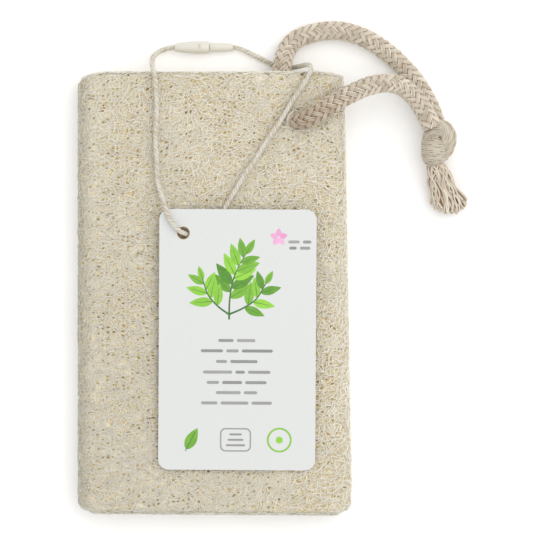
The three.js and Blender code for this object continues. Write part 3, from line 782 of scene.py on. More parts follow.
# %% A smooth path through chosen points
ROPE_DIAMETER = 0.0082
ROPE_ROUTE = [
    (0.0882, 0.0676, 0.0122), (0.0873, 0.0696, 0.0125), (0.0858, 0.0724, 0.0127),
    (0.0838, 0.0759, 0.0129), (0.0814, 0.0793, 0.0131), (0.0781, 0.0824, 0.0135),
    (0.0745, 0.0844, 0.0142), (0.0704, 0.0852, 0.0155), (0.0651, 0.0846, 0.0174),
    (0.0598, 0.0828, 0.0192), (0.0550, 0.0806, 0.0203), (0.0497, 0.0777, 0.0206),
    (0.0448, 0.0747, 0.0206), (0.0396, 0.0717, 0.0199), (0.0350, 0.0700, 0.0170),
    (0.0314, 0.0709, 0.0126), (0.0292, 0.0743, 0.0094), (0.0281, 0.0795, 0.0081),
    (0.0275, 0.0850, 0.0079), (0.0274, 0.0900, 0.0079), (0.0278, 0.0942, 0.0072),
    (0.0293, 0.0990, 0.0054), (0.0324, 0.1030, 0.0045), (0.0371, 0.1053, 0.0043),
    (0.0420, 0.1066, 0.0043), (0.0481, 0.1072, 0.0043), (0.0538, 0.1066, 0.0043),
    (0.0590, 0.1050, 0.0043), (0.0639, 0.1027, 0.0043), (0.0688, 0.0994, 0.0043),
    (0.0732, 0.0958, 0.0043), (0.0773, 0.0917, 0.0043), (0.0810, 0.0875, 0.0043),
    (0.0838, 0.0834, 0.0043), (0.0862, 0.0793, 0.0043), (0.0881, 0.0753, 0.0043),
    (0.0895, 0.0716, 0.0043), (0.0901, 0.0684, 0.0044),
]
STRING_ROUTE = [
    (0.0058, 0.1004, 0.00265), (0.0094, 0.1001, 0.0025), (0.0130, 0.0987, 0.0019),
    (0.0205, 0.0950, 0.0014), (0.0240, 0.0932, 0.0014), (0.0276, 0.0922, 0.0015),
    (0.0312, 0.0921, 0.0029), (0.0366, 0.0927, 0.0114), (0.0384, 0.0925, 0.0156),
    (0.0390, 0.0909, 0.0181), (0.0383, 0.0884, 0.0180), (0.0345, 0.0823, 0.0175),
    (0.0266, 0.0698, 0.0175), (0.0164, 0.0542, 0.0175), (0.0063, 0.0382, 0.0175),
    (0.0034, 0.0326, 0.0175), (-0.0002, 0.0282, 0.0175), (-0.0046, 0.0250, 0.0175),
    (-0.0086, 0.0236, 0.0174), (-0.0107, 0.0238, 0.0178), (-0.0125, 0.0245, 0.0192),
    (-0.0143, 0.0255, 0.0207), (-0.0160, 0.0272, 0.0211), (-0.0185, 0.0312, 0.0211),
    (-0.0197, 0.0347, 0.0207), (-0.0208, 0.0379, 0.0194), (-0.0218, 0.0410, 0.0181),
    (-0.0227, 0.0444, 0.0175), (-0.0232, 0.0493, 0.0175), (-0.0237, 0.0643, 0.0175),
    (-0.0233, 0.0797, 0.0175), (-0.0238, 0.0850, 0.0176), (-0.0245, 0.0892, 0.0177),
    (-0.0251, 0.0919, 0.0155), (-0.0254, 0.0936, 0.0110), (-0.0249, 0.0967, 0.0034),
    (-0.0232, 0.0985, 0.0018), (-0.0206, 0.0997, 0.0017), (-0.0180, 0.1003, 0.0024),
    (-0.0148, 0.1004, 0.00265),
]


def smooth_path(points, step):
    """Points at an even step along the centripetal Catmull-Rom curve through those points."""
    given = [np.array(p) for p in points]
    ends = [2 * given[0] - given[1], *given, 2 * given[-1] - given[-2]]
    fine = [given[0]]
    for p0, p1, p2, p3 in zip(ends, ends[1:], ends[2:], ends[3:]):
        d0, d1, d2 = (np.linalg.norm(b - a) ** 0.5 for a, b in ((p0, p1), (p1, p2), (p2, p3)))
        leave = ((p1 - p0) / d0 - (p2 - p0) / (d0 + d1) + (p2 - p1) / d1) * d1
        reach = ((p2 - p1) / d1 - (p3 - p1) / (d1 + d2) + (p3 - p2) / d2) * d1
        for t in np.linspace(0.0, 1.0, 25)[1:]:
            bow = 2 * p1 - 2 * p2 + leave + reach
            lean = 3 * p2 - 3 * p1 - 2 * leave - reach
            fine.append(p1 + leave * t + lean * t**2 + bow * t**3)
    fine = np.array(fine)
    gone = np.concatenate([[0.0], np.cumsum(np.linalg.norm(np.diff(fine, axis=0), axis=1))])
    places = np.linspace(0.0, gone[-1], max(2, round(gone[-1] / step) + 1))
    return np.column_stack([np.interp(places, gone, fine[:, axis]) for axis in range(3)])


def path_length(path):
    return float(np.linalg.norm(np.diff(path, axis=0), axis=1).sum())


rope_path = smooth_path(ROPE_ROUTE, 0.0009)
string_path = smooth_path(STRING_ROUTE, 0.0007)
print("rope:", round(path_length(rope_path), 4), "string:", round(path_length(string_path), 4))

# %% [markdown]
# ## The rope and the string
#
# Sixteen carriers of three yarns each, over a core that fills the middle, is the common build of
# a cotton rope this thick. The measured angle of the strands, a little over 40 degrees, sets the
# pitch: how far along the rope a carrier goes for one turn. The string is three thick plies, all
# twisted one way, so it is the same tree with other numbers.

# %% Braid the rope and twist the string
BRAID = {
    "Carriers": 16, "Yarns": 3, "Two Way": 1.0, "Lay Radius": 0.00334, "Weave": 0.00032,
    "Pitch": 0.0245, "Yarn Radius": 0.00033, "Yarn Spread": 0.222, "Core Radius": 0.0027,
    "Sides": 4, "Seed": 11, "Material": cotton,
}
TWIST = {
    "Carriers": 3, "Yarns": 1, "Two Way": 0.0, "Lay Radius": 0.00056, "Weave": 0.0,
    "Pitch": -0.0044, "Yarn Radius": 0.00053, "Yarn Spread": 0.0, "Core Radius": 0.0003,
    "Sides": 8, "Seed": 4, "Material": string_finish,
}
rope = grow(line_piece("braided_rope", [rope_path]), yarns_along_a_path, BRAID)
string = grow(line_piece("twisted_string", [string_path]), yarns_along_a_path, TWIST)
dress([rope], "hanging_rope")
dress([string], "tag_string")

# %% [markdown]
# ## The knot
#
# Pulled tight, the knot shows two parts: a band of yarns that wraps round its lower half like a
# barrel, and a turn of the rope that comes over the top and down the right side. A whole overhand
# knot could be led through itself, but most of it would be out of sight. The band's yarns are
# drawn one by one, a little wavy, over a smooth barrel that no one can look through. In the turns
# the pull has laid all yarns one way, so they are short lengths of a thick twist.

# %% Wrap the knot's band and lay its turns
KNOT_MIDDLE = np.array((0.0910, 0.0613, 0.0079))
WRAP_MIDDLE = KNOT_MIDDLE + np.array((-0.0019, -0.0034, 0.0003))
WRAP_RADII = (0.0049, 0.0063)
WRAP_HALF_HEIGHT = 0.0058
WRAP_YARNS = 26
WRAP_LEAN = 0.02
WRAP_ROUNDING = 0.28
SLOW_WAVE, QUICK_WAVE = 0.00024, 0.00012
FRONT_TURN = [
    (-0.0030, 0.0012, 0.0000), (-0.0022, 0.0038, 0.0018), (-0.0002, 0.0056, 0.0028),
    (0.0022, 0.0054, 0.0030), (0.0036, 0.0032, 0.0026), (0.0037, 0.0004, 0.0016),
    (0.0026, -0.0026, 0.0006), (0.0006, -0.0052, -0.0006),
]
BACK_TURN = [
    (0.0030, 0.0050, 0.0005), (0.0006, 0.0059, -0.0028), (-0.0024, 0.0032, -0.0042),
    (-0.0034, -0.0010, -0.0044),
]
TURN_TWIST = {
    "Carriers": 26, "Yarns": 1, "Two Way": 0.0, "Lay Radius": 0.00310, "Weave": 0.0002,
    "Pitch": 0.036, "Yarn Radius": 0.00038, "Yarn Spread": 0.0, "Core Radius": 0.0029,
    "Shade Under": 0.1, "Sides": 6, "Seed": 31, "Material": cotton_knot,
}
random = np.random.default_rng(8)


def on_barrel(level, angle, under=0.0, wave=0.0):
    """A point on the band's barrel, or that far under it: level from -1 to 1, angle round it."""
    reach = max(1.0 - level**2, 0.0) ** WRAP_ROUNDING
    x = (WRAP_RADII[0] - under) * reach * math.sin(angle)
    z = (WRAP_RADII[1] - under) * reach * math.cos(angle)
    return WRAP_MIDDLE + np.array((x, (WRAP_HALF_HEIGHT - 2 * under) * level + wave - WRAP_LEAN * x, z))


def wrap_lines():
    lines = []
    for k in range(WRAP_YARNS):
        level = -1.0 + 2.0 * (k + 0.5) / WRAP_YARNS
        phase, wide = random.uniform(0.0, math.tau), random.uniform(0.5, 1.0)
        line = []
        for angle in np.linspace(0.0, math.tau, 40, endpoint=False):
            wave = SLOW_WAVE * wide * math.sin(3.0 * angle + phase)
            wave += QUICK_WAVE * math.sin(11.0 * angle + 2.0 * phase)
            line.append(on_barrel(level, angle, wave=wave))
        lines.append(line)
    return lines


def wrap_core(rings=15, sides=32):
    levels = [math.sin(math.pi * (k / (rings - 1) - 0.5)) for k in range(rings)]
    points = [on_barrel(v, math.tau * s / sides, under=0.0001) for v in levels for s in range(sides)]
    core = new_piece("knot_band_core", points, faces=ring_faces(rings, sides))
    return finish_piece(core, cotton_knot)


wrap = line_piece("knot_band", wrap_lines(), closed=True)
BAND = {"Radius": 0.00036, "Lightest": 0.55, "Sides": 6, "Seed": 21}
grow(wrap, tubes_along_lines, {**BAND, "Middle": tuple(WRAP_MIDDLE), "Material": cotton_knot})
core = wrap_core()
turns = []
for name, route in (("knot_front_turn", FRONT_TURN), ("knot_back_turn", BACK_TURN)):
    path = smooth_path([KNOT_MIDDLE + np.array(p) for p in route], 0.0007)
    turns.append(grow(line_piece(name, [path]), yarns_along_a_path, TURN_TWIST))
dress([wrap, core, *turns], "rope_knot")
print("knot pieces:", 2 + len(turns))

# %% [markdown]
# ## The tassel
#
# Below the knot the braid is undone. The yarns still cross at the top, as the braid left them,
# and then run side by side, spread towards their ends and sink to the table. Dropping them in a
# simulation would be slow and hard to steer, so their courses are worked out. Each yarn starts at
# its own place in the round bundle and keeps it, with a slow wave of its own, and a few of them
# end early or late. A second, shorter set of fat yarns in a painted shade colour fills the bundle
# from inside, so the gaps between the loose yarns show painted shade.

# %% Lay the tassel's yarns
TASSEL_LINE = np.array([
    # x, y, z, half-width, half-height
    (0.0902, 0.0534, 0.0074, 0.0034, 0.0036),
    (0.0908, 0.0509, 0.0066, 0.0045, 0.0040),
    (0.0919, 0.0460, 0.0056, 0.0053, 0.0043),
    (0.0932, 0.0419, 0.0049, 0.0059, 0.0041),
    (0.0950, 0.0372, 0.0045, 0.0072, 0.0038),
    (0.0962, 0.0326, 0.0042, 0.0076, 0.0034),
])
TASSEL_YARNS = 112
TASSEL_POINTS = 22
CROSSING, CROSSED_BY = 1.1, 0.4
SWAY, FLARE, OVERLONG = 0.00060, 0.0022, 0.02
YARN_ROOM = 0.0005
LOWEST = 0.0007


def tassel_lines():
    lines = []
    shares = np.linspace(0.0, 1.0, len(TASSEL_LINE))
    for k in range(TASSEL_YARNS):
        share = math.sqrt((k + 0.5) / TASSEL_YARNS)
        angle = k * math.pi * (3.0 - math.sqrt(5.0))
        aside = math.cos(angle) * share
        reach = random.uniform(0.93, 1.02) - (0.22 if aside > 0.0 else 0.16) * aside**2
        waves, phase = random.uniform(9.0, 18.0), random.uniform(0.0, math.tau)
        crossing = CROSSING if k % 2 else -CROSSING
        line = []
        for t in np.linspace(0.0, reach, TASSEL_POINTS):
            x, y, z, wide, high = (np.interp(min(t, 1.0), shares, column) for column in TASSEL_LINE.T)
            turned = angle + crossing * max(0.0, 1.0 - t / CROSSED_BY)
            turned += 0.30 * t * math.sin(3.0 * t + phase)
            sway = SWAY * min(1.0, 3.0 * t) * math.sin(waves * t + phase)
            across = (wide - YARN_ROOM) * share * math.cos(turned) + sway
            up = (high - YARN_ROOM) * share * math.sin(turned) + 0.6 * sway
            flare = FLARE * max(0.0, aside) * t**2
            beyond = max(0.0, t - 1.0) * OVERLONG
            line.append((x + across + flare, y - beyond, max(z + up, LOWEST)))
        lines.append(line)
    return lines


TASSEL = {**BAND, "Middle": (0.0925, 0.0430, -0.01)}
loose = {**TASSEL, "Radius": 0.00046, "Lightest": 1.0, "Darkest": 0.2, "Seed": 5, "Material": cotton}
# The inner yarns are painted shade.
fat = {**TASSEL, "Radius": 0.0009, "Seed": 6, "Material": cotton_shade}
tassel = grow(line_piece("rope_tassel_yarns", tassel_lines()), tubes_along_lines, loose)
core_lines = [line[:-2] for line in tassel_lines()[:TASSEL_YARNS // 4]]
tassel_core = grow(line_piece("rope_tassel_core", core_lines), tubes_along_lines, fat)
dress([tassel, tassel_core], "rope_tassel")

# %% [markdown]
# ## The string's lock
#
# Two small turned parts in cream plastic: a barrel, and a plug whose peg snaps into it. A Screw
# modifier could spin them; here each profile is turned ring by ring, so that its numbers stay in
# view and its ends close on the axis. The barrel has the small window where the peg's hook shows.

# %% Turn the lock's two parts
SEAL_LEFT = np.array((-0.0164, 0.1004, 0.00265))
BARREL_PROFILE = [
    (0.0020, 0.0), (0.0020, 0.00125), (0.0, 0.00125), (0.0, 0.0014), (0.0006, 0.00165),
    (0.0020, 0.00195), (0.0040, 0.00222), (0.0065, 0.00245), (0.0090, 0.0026), (0.0136, 0.00258),
    (0.0140, 0.0024), (0.0141, 0.0022), (0.0141, 0.0015), (0.0081, 0.0015), (0.0081, 0.0),
]
PLUG_PROFILE = [
    (0.0086, 0.0), (0.0086, 0.0008), (0.0090, 0.0012), (0.01425, 0.0012), (0.01425, 0.0018),
    (0.0145, 0.00192), (0.0168, 0.00190), (0.0190, 0.00183), (0.0212, 0.00171),
    (0.0230, 0.00156), (0.0237, 0.0014), (0.0238, 0.00125), (0.0218, 0.00125), (0.0218, 0.0),
]
SEAL_SIDES = 40
WINDOW_PLACE = SEAL_LEFT + np.array((0.0100, 0.0003, 0.0026))
WINDOW_SIZE = (0.0010, 0.0017, 0.0012)


def turned(name, profile):
    angles = [math.tau * s / SEAL_SIDES for s in range(SEAL_SIDES)]
    points = [SEAL_LEFT + np.array((x, r * math.cos(a), r * math.sin(a))) for x, r in profile for a in angles]
    piece = new_piece(name, points, faces=ring_faces(len(profile), SEAL_SIDES))
    return finish_piece(piece, seal_plastic)


def cut(piece, tool, solver):
    """Takes a closed tool's form out of a piece, and takes the tool away."""
    modifier = piece.modifiers.new("cut", "BOOLEAN")
    modifier.object, modifier.operation, modifier.solver = tool, "DIFFERENCE", solver
    plain_mesh(piece)
    bpy.data.objects.remove(tool)


def block(size, place):
    piece = new_piece("cutter", [])
    work = bmesh.new()
    bmesh.ops.create_cube(work, size=1.0)
    bmesh.ops.scale(work, vec=size, verts=work.verts)
    bmesh.ops.translate(work, vec=place, verts=work.verts)
    work.to_mesh(piece.data)
    work.free()
    return piece


barrel, plug = turned("lock_barrel", BARREL_PROFILE), turned("lock_plug", PLUG_PROFILE)
cut(barrel, block(WINDOW_SIZE, WINDOW_PLACE), "EXACT")
for piece in (barrel, plug):
    piece.data.set_sharp_from_angle(angle=math.radians(35.0))
dress([barrel], "seal_barrel")
dress([plug], "seal_plug")
print("lock length:", round(PLUG_PROFILE[-3][0], 4))

# %% [markdown]
# ## The swing tag
#
# A die-cut card: a rectangle with round corners and one punched hole. Its lower end rests on the
# pad, and its upper end on the string that comes up through the hole, so it leans by a degree and
# a half. A thin box with a bevel and a Boolean hole would do; but the print needs a way to make
# flat shapes from outlines anyway, and the card is the first of them. All are drawn flat and laid
# in place by one matrix. A thin brown ring over the hole's edge is painted shade: it stands for
# the shaded pad that shows through the hole.

# %% Cut the card
TAG_WIDTH, TAG_LENGTH, TAG_THICKNESS = 0.0635, 0.1055, 0.0006
TAG_CORNER = 0.0042
TAG_PLACE = (0.0093, -0.0187)
HOLE_RADIUS = 0.0025
HOLE_INSET = 0.0097
HOLE_PLACE = (HOLE_INSET - TAG_WIDTH / 2, TAG_LENGTH / 2 - HOLE_INSET)
HOLE_SIDES = 48
SHADE_RING_INSIDE, SHADE_RING_OUTSIDE = HOLE_RADIUS - 0.0003, HOLE_RADIUS + 0.0001
SHADE_RING_PROUD = 0.00002
TAG_LEAN, TAG_TURN = math.radians(1.57), math.radians(-0.35)
PAD_THICKNESS = 0.016
TAG_GAP = 0.0003
LIFT = 0.000002

tag_height = PAD_THICKNESS + TAG_GAP + TAG_LENGTH / 2 * math.sin(TAG_LEAN)
turning = Matrix.Rotation(TAG_TURN, 4, "Z") @ Matrix.Rotation(TAG_LEAN, 4, "X")
on_card = Matrix.Translation((*TAG_PLACE, tag_height)) @ turning


def arc(middle, radius, start, end, steps):
    angles = np.linspace(math.radians(start), math.radians(end), steps + 1)
    return [(middle[0] + radius * math.cos(a), middle[1] + radius * math.sin(a)) for a in angles]


def rounded_box(middle, width, length, corner, steps=12):
    w, l = width / 2 - corner, length / 2 - corner
    outline = []
    for k, (right, up) in enumerate(((1, -1), (1, 1), (-1, 1), (-1, -1))):
        place = (middle[0] + right * w, middle[1] + up * l)
        outline += arc(place, corner, 90 * k - 90, 90 * k, steps)
    return outline


def circle(middle, radius, steps=36):
    return arc(middle, radius, 0, 360, steps)[:-1]


class Slabs:
    """Flat shapes with straight sides, gathered into one piece and laid on the card."""

    def __init__(self, low, high):
        self.low, self.high, self.shapes = low, high, 0
        self.points, self.faces, self.tones = [], [], []

    def add(self, outline, holes=(), tone=0.5):
        loops = [outline, *holes]
        flat = [p for loop in loops for p in loop]
        start, count = len(self.points), len(flat)
        level = self.high + LIFT * self.shapes
        self.shapes += 1
        self.points += [(x, y, z) for z in (level, self.low) for x, y in flat]
        self.tones += [tone] * (2 * count)
        for corners in tessellate_polygon([[Vector((x, y, 0.0)) for x, y in loop] for loop in loops]):
            a, b, c = (start + corner for corner in corners)
            self.faces += [(a, b, c), (c + count, b + count, a + count)]
        for loop in loops:
            for k in range(len(loop)):
                a, b = start + k, start + (k + 1) % len(loop)
                self.faces.append((a, b, b + count, a + count))
            start += len(loop)

    def piece(self, name, material):
        made = new_piece(name, [on_card @ Vector(p) for p in self.points], faces=self.faces)
        made.data.attributes.new("tone", "FLOAT", "POINT").data.foreach_set("value", self.tones)
        return finish_piece(made, material, smooth=False)


card = Slabs(0.0, TAG_THICKNESS)
outline = rounded_box((0.0, 0.0), TAG_WIDTH, TAG_LENGTH, TAG_CORNER)
card.add(outline, [circle(HOLE_PLACE, HOLE_RADIUS, HOLE_SIDES)])
# Painted shade: a thin brown ring over the hole's edge, for the shaded pad seen through it.
shade_ring_slabs = Slabs(SHADE_RING_PROUD, TAG_THICKNESS + SHADE_RING_PROUD)
inner_edge = circle(HOLE_PLACE, SHADE_RING_INSIDE, HOLE_SIDES)
shade_ring_slabs.add(circle(HOLE_PLACE, SHADE_RING_OUTSIDE, HOLE_SIDES), [inner_edge[::-1]], tone=0.6)
dress([card.piece("swing_tag", card_paper)], "tag_card")
dress([shade_ring_slabs.piece("hole_edge", hole_edge_paint)])
print("tag leans by", round(math.degrees(TAG_LEAN), 2), "degrees")

# %% [markdown]
# ### The print
#
# The card carries a plain design of its own: a spray of three leafy sprigs, a small blossom, rows
# of grey bars and three simple marks. An image could carry it, but shapes stay sharp and are
# meshes like the rest. Each is a slab thinner than a hair. Where two overlap, the later one
# lies 2 micrometres higher, so the renderer never has to choose between them. A leaf is two bows
# that meet at the tip.

# %% Draw the sprigs and the blossom
PRINT_LOW, PRINT_HIGH = TAG_THICKNESS - 0.00002, TAG_THICKNESS + 0.00003
SPRIGS = [
    # the stem's points on the card, leaves, leaf size
    ([(-0.0034, 0.0082), (-0.0032, 0.0160), (-0.0020, 0.0236), (0.0006, 0.0302), (0.0032, 0.0346)], 11, 1.05),
    ([(-0.0037, 0.0104), (-0.0078, 0.0134), (-0.0120, 0.0182), (-0.0140, 0.0240)], 7, 0.92),
    ([(-0.0031, 0.0104), (0.0022, 0.0128), (0.0076, 0.0166), (0.0112, 0.0226)], 7, 0.92),
]
STEM_WIDTHS = (0.00075, 0.00035)
RIB_WIDTHS = (0.00032, 0.00022, 0.0001)
LEAF_SLIMNESS = 0.40
BLOSSOM = (0.0165, 0.0415)
PETALS = 5
PETAL_FOOT, PETAL_LENGTH, PETAL_WIDTH = 0.0004, 0.0033, 0.0023
leaf_slabs, petal_slabs, grey_slabs = (Slabs(PRINT_LOW, PRINT_HIGH) for _ in range(3))
stem_slabs = Slabs(PRINT_LOW, PRINT_HIGH + 0.00001)


def leaf(foot, angle, length, width, steps=12):
    """A leaf's outline, from its foot to its tip and back."""
    there = np.linspace(0.0, 1.0, steps + 1)[:-1]
    sides = [(t, 1.0) for t in there] + [(1.0 - t, -1.0) for t in there]
    bows = [(length * t, side * width / 2 * math.sin(math.pi * t**0.8) ** 0.9) for t, side in sides]
    along, up = math.cos(angle), math.sin(angle)
    return [(foot[0] + u * along - v * up, foot[1] + u * up + v * along) for u, v in bows]


def stripe(line, width):
    """A line's outline at that width, with a width for each point if several are given."""
    line = np.array(line)[:, :2]
    along = np.gradient(line, axis=0)
    along /= np.linalg.norm(along, axis=1)[:, None]
    half = np.broadcast_to(np.array(width, dtype=float), (len(line),))[:, None] / 2
    across = np.column_stack([-along[:, 1], along[:, 0]]) * half
    return [tuple(p) for p in (*(line - across), *(line + across)[::-1])]


def towards(foot, angle, distance):
    return (foot[0] + distance * math.cos(angle), foot[1] + distance * math.sin(angle))


def sprig(points, leaves, size):
    """A curved stem with its leaves to both sides in turn, and one at the tip."""
    stem = smooth_path([(x, y, 0.0) for x, y in points], 0.0008)
    slopes = np.gradient(stem, axis=0)
    stem_slabs.add(stripe(stem, np.linspace(*STEM_WIDTHS, len(stem))), tone=0.3)
    for k in range(leaves):
        t = 0.32 + 0.68 * k / (leaves - 1)
        row = round(t * (len(stem) - 1))
        foot, angle = stem[row], math.atan2(slopes[row][1], slopes[row][0])
        if k < leaves - 1:
            angle += (1.0 if k % 2 else -1.0) * math.radians(58.0 - 16.0 * t)
        middle_leaf = math.sin(math.pi * (0.18 + 0.70 * t))
        length = size * (0.0050 + 0.0052 * middle_leaf + random.uniform(-0.0005, 0.0005))
        leaf_slabs.add(leaf(foot, angle, length, length * LEAF_SLIMNESS), tone=random.uniform(0.0, 1.0))
        rib = [towards(foot, angle, u * length) for u in (0.0, 0.4, 0.78)]
        stem_slabs.add(stripe(rib, RIB_WIDTHS), tone=0.8)


for points, leaves, size in SPRIGS:
    sprig(points, leaves, size)
for k in range(PETALS):
    angle = math.tau * (k + 0.25) / PETALS
    foot = towards(BLOSSOM, angle, PETAL_FOOT)
    petal_slabs.add(leaf(foot, angle, PETAL_LENGTH, PETAL_WIDTH), tone=0.2 + 0.15 * k)
print("leaves:", leaf_slabs.shapes, "petals:", petal_slabs.shapes)

# %% [markdown]
# ### Grey rows and marks
#
# The rows are bars with round ends and uneven lengths, and each row is centred, so its first bar
# starts half the row's length left of its middle. Below them stand the marks: a leaf, a box with
# three bars in it, and a ring with a dot. All are outlines again, and a loop lays the rows.

# %% Draw the grey rows and the three marks
ROWS = [
    # height on the card, middle, bars
    (0.0397, 0.0250, (0.0046, 0.0034)),
    (0.0372, 0.0250, (0.0030, 0.0042)),
    (-0.0003, -0.0002, (0.0062, 0.0075)),
    (-0.0045, -0.0002, (0.0090, 0.0050, 0.0125)),
    (-0.0088, -0.0002, (0.0045, 0.0110)),
    (-0.0131, -0.0002, (0.0118, 0.0038, 0.0090)),
    (-0.0173, -0.0002, (0.0050, 0.0080, 0.0086)),
    (-0.0214, -0.0002, (0.0100, 0.0054)),
    (-0.0256, -0.0002, (0.0066, 0.0112, 0.0082)),
]
BAR_HEIGHT, BAR_SPACE = 0.0012, 0.0013
MARK_HEIGHT = -0.0405
LEAF_FOOT, LEAF_LENGTH, LEAF_WIDTH = (-0.0205, MARK_HEIGHT - 0.0040), 0.0098, 0.0046
LEAF_STEM = [(-0.0208, MARK_HEIGHT - 0.0046), (-0.0168, MARK_HEIGHT + 0.0030)]
BOX_PLACE, RING_PLACE = (-0.0005, MARK_HEIGHT), (0.0172, MARK_HEIGHT)
BOX_OUTSIDE, BOX_INSIDE = (0.0125, 0.0095, 0.0022), (0.0115, 0.0085, 0.0018)
BOX_BARS, BOX_BAR_HEIGHT, BOX_BAR_STEP = (0.0078, 0.0064, 0.0050), 0.0008, 0.0022
RING_OUTSIDE, RING_INSIDE, DOT_RADIUS = 0.0050, 0.0043, 0.0014
for level, middle, bars in ROWS:
    x = middle - (sum(bars) + BAR_SPACE * (len(bars) - 1)) / 2
    for width in bars:
        bar = rounded_box((x + width / 2, level), width, BAR_HEIGHT, BAR_HEIGHT * 0.49, steps=6)
        grey_slabs.add(bar, tone=random.uniform(0.0, 1.0))
        x += width + BAR_SPACE
grey_slabs.add(rounded_box(BOX_PLACE, *BOX_OUTSIDE), [rounded_box(BOX_PLACE, *BOX_INSIDE)[::-1]])
for k, width in enumerate(BOX_BARS):
    place = (BOX_PLACE[0], MARK_HEIGHT + BOX_BAR_STEP * (k - 1))
    grey_slabs.add(rounded_box(place, width, BOX_BAR_HEIGHT, 0.00039, steps=6))
leaf_slabs.add(circle(RING_PLACE, RING_OUTSIDE), [circle(RING_PLACE, RING_INSIDE)[::-1]], tone=0.7)
leaf_slabs.add(circle(RING_PLACE, DOT_RADIUS, 24), tone=0.9)
leaf_slabs.add(leaf(LEAF_FOOT, math.radians(62.0), LEAF_LENGTH, LEAF_WIDTH), tone=0.4)
stem_slabs.add(stripe(LEAF_STEM, 0.0003), tone=0.5)
prints = [
    leaf_slabs.piece("print_leaves", leaf_paint),
    stem_slabs.piece("print_stems", stem_paint),
    petal_slabs.piece("print_blossom", petal_paint),
    grey_slabs.piece("print_grey_rows", grey_paint),
]
dress(prints)
print("print shapes:", [len(piece.data.polygons) for piece in prints])

# %% [markdown]
# ## The pad
#
# The pad's form follows a rule, the same as the frame's: a flat slab with a half round fold down
# each side, a right side that leans in, worn corners and a gentle roll. It could be sculpted, but
# with a rule every point knows where it lies round the section, and the pores need that. The
# function gives the ring of points at a place along the pad, at a share of the way out.

# %% The pad's rule
HALF_WIDTH, HALF_LENGTH = 0.0562, 0.0899
FOLD = PAD_THICKNESS / 2
TAPER, TAPER_FROM = 0.0176, -0.080
FAR_CORNER, NEAR_CORNER = 0.0055, 0.0016
RIGHT_SIDE_FALL = (0.076, 0.014, 0.0006)
LEFT_END_FALL, RIGHT_END_FALL = (0.042, 0.014, 0.0032), (0.041, 0.012, 0.0018)
FAR_END_INSET, FAR_END_SLOPE = 0.00035, 0.0062
ROLL_ACROSS, ROLL_ALONG, ROLL_START, ROLL_DEPTH = 0.017, 0.070, 2.2, 0.028
DIP_AT, DIP_WIDTH, DIP_DEPTH = -0.041, 0.007, 0.03
FLAT_STEPS, FOLD_STEPS = 110, 25
RING = 2 * (FLAT_STEPS + FOLD_STEPS)


def fallen(distance, start, over, deep):
    """How far an edge has dropped back at a distance past where it starts to."""
    return deep * np.maximum(0.0, (distance - start) / over) ** 2


def corner_inset(from_end, radius):
    near = np.clip(radius - from_end, 0.0, radius)
    return radius - np.sqrt(radius**2 - near**2)


def pad_sides(y):
    """The pad's left and right side at that place along it."""
    far = corner_inset(y + HALF_LENGTH, FAR_CORNER)
    left = far - HALF_WIDTH + corner_inset(HALF_LENGTH - y, NEAR_CORNER)
    leaning = TAPER * np.maximum(0.0, y - TAPER_FROM)
    return left, HALF_WIDTH - leaning - far - fallen(y, *RIGHT_SIDE_FALL)


def pad_points(along, share=1.0, sunk=0.0):
    """The ring of points at that place along the pad, 0 to 1."""
    left, right = pad_sides((2.0 * along - 1.0) * HALF_LENGTH)
    left, right = left + FOLD, right - FOLD
    flat = np.linspace(left, right, FLAT_STEPS + 1)
    turn = np.linspace(0.0, math.pi, FOLD_STEPS + 1)[1:-1]
    still = np.ones(FOLD_STEPS - 1)
    middle = np.concatenate([flat, right * still, flat[::-1], left * still])
    up = np.full(FLAT_STEPS + 1, math.pi / 2)
    angle = np.concatenate([up, math.pi / 2 - turn, -up, -math.pi / 2 - turn])
    reach = FOLD * share - sunk
    x = middle + np.cos(angle) * reach
    z = FOLD + np.sin(angle) * reach
    bottom = -HALF_LENGTH + FAR_END_INSET - FAR_END_SLOPE * x
    top = HALF_LENGTH - fallen(-x, *LEFT_END_FALL) - fallen(x, *RIGHT_END_FALL)
    y = bottom * (1.0 - along) + top * along
    roll = 0.5 + 0.5 * np.sin(x / ROLL_ACROSS + y / ROLL_ALONG + ROLL_START)
    dip = np.exp(-(((x - DIP_AT) / DIP_WIDTH) ** 2))
    return np.column_stack([x, y, z * (1.0 - ROLL_DEPTH * roll - DIP_DEPTH * dip)])


print("pad ring:", RING, "points, width", round(float(np.ptp(pad_points(0.5)[:, 0])), 4))

# %% [markdown]
# ### Skins to lay fibres on
#
# The fibres need surfaces to be scattered over: the pad's sides as one tube, and the two cut ends
# as plates. Each face knows its zone: it looks up or down, lies on an end, or runs along the
# face's edge. Each point knows its place on the sheet that carries the pores, which is mirrored
# at the folds so that it has no seam. The skins are only tools, so they are taken away later.

# %% Make the skins
SKIN_ROWS = 120
BACK_ZONE, FACE_ZONE, END_ZONE, EDGE_ZONE = 0.0, 1.0, 2.0, 3.0
LOOKS_UP = 0.35


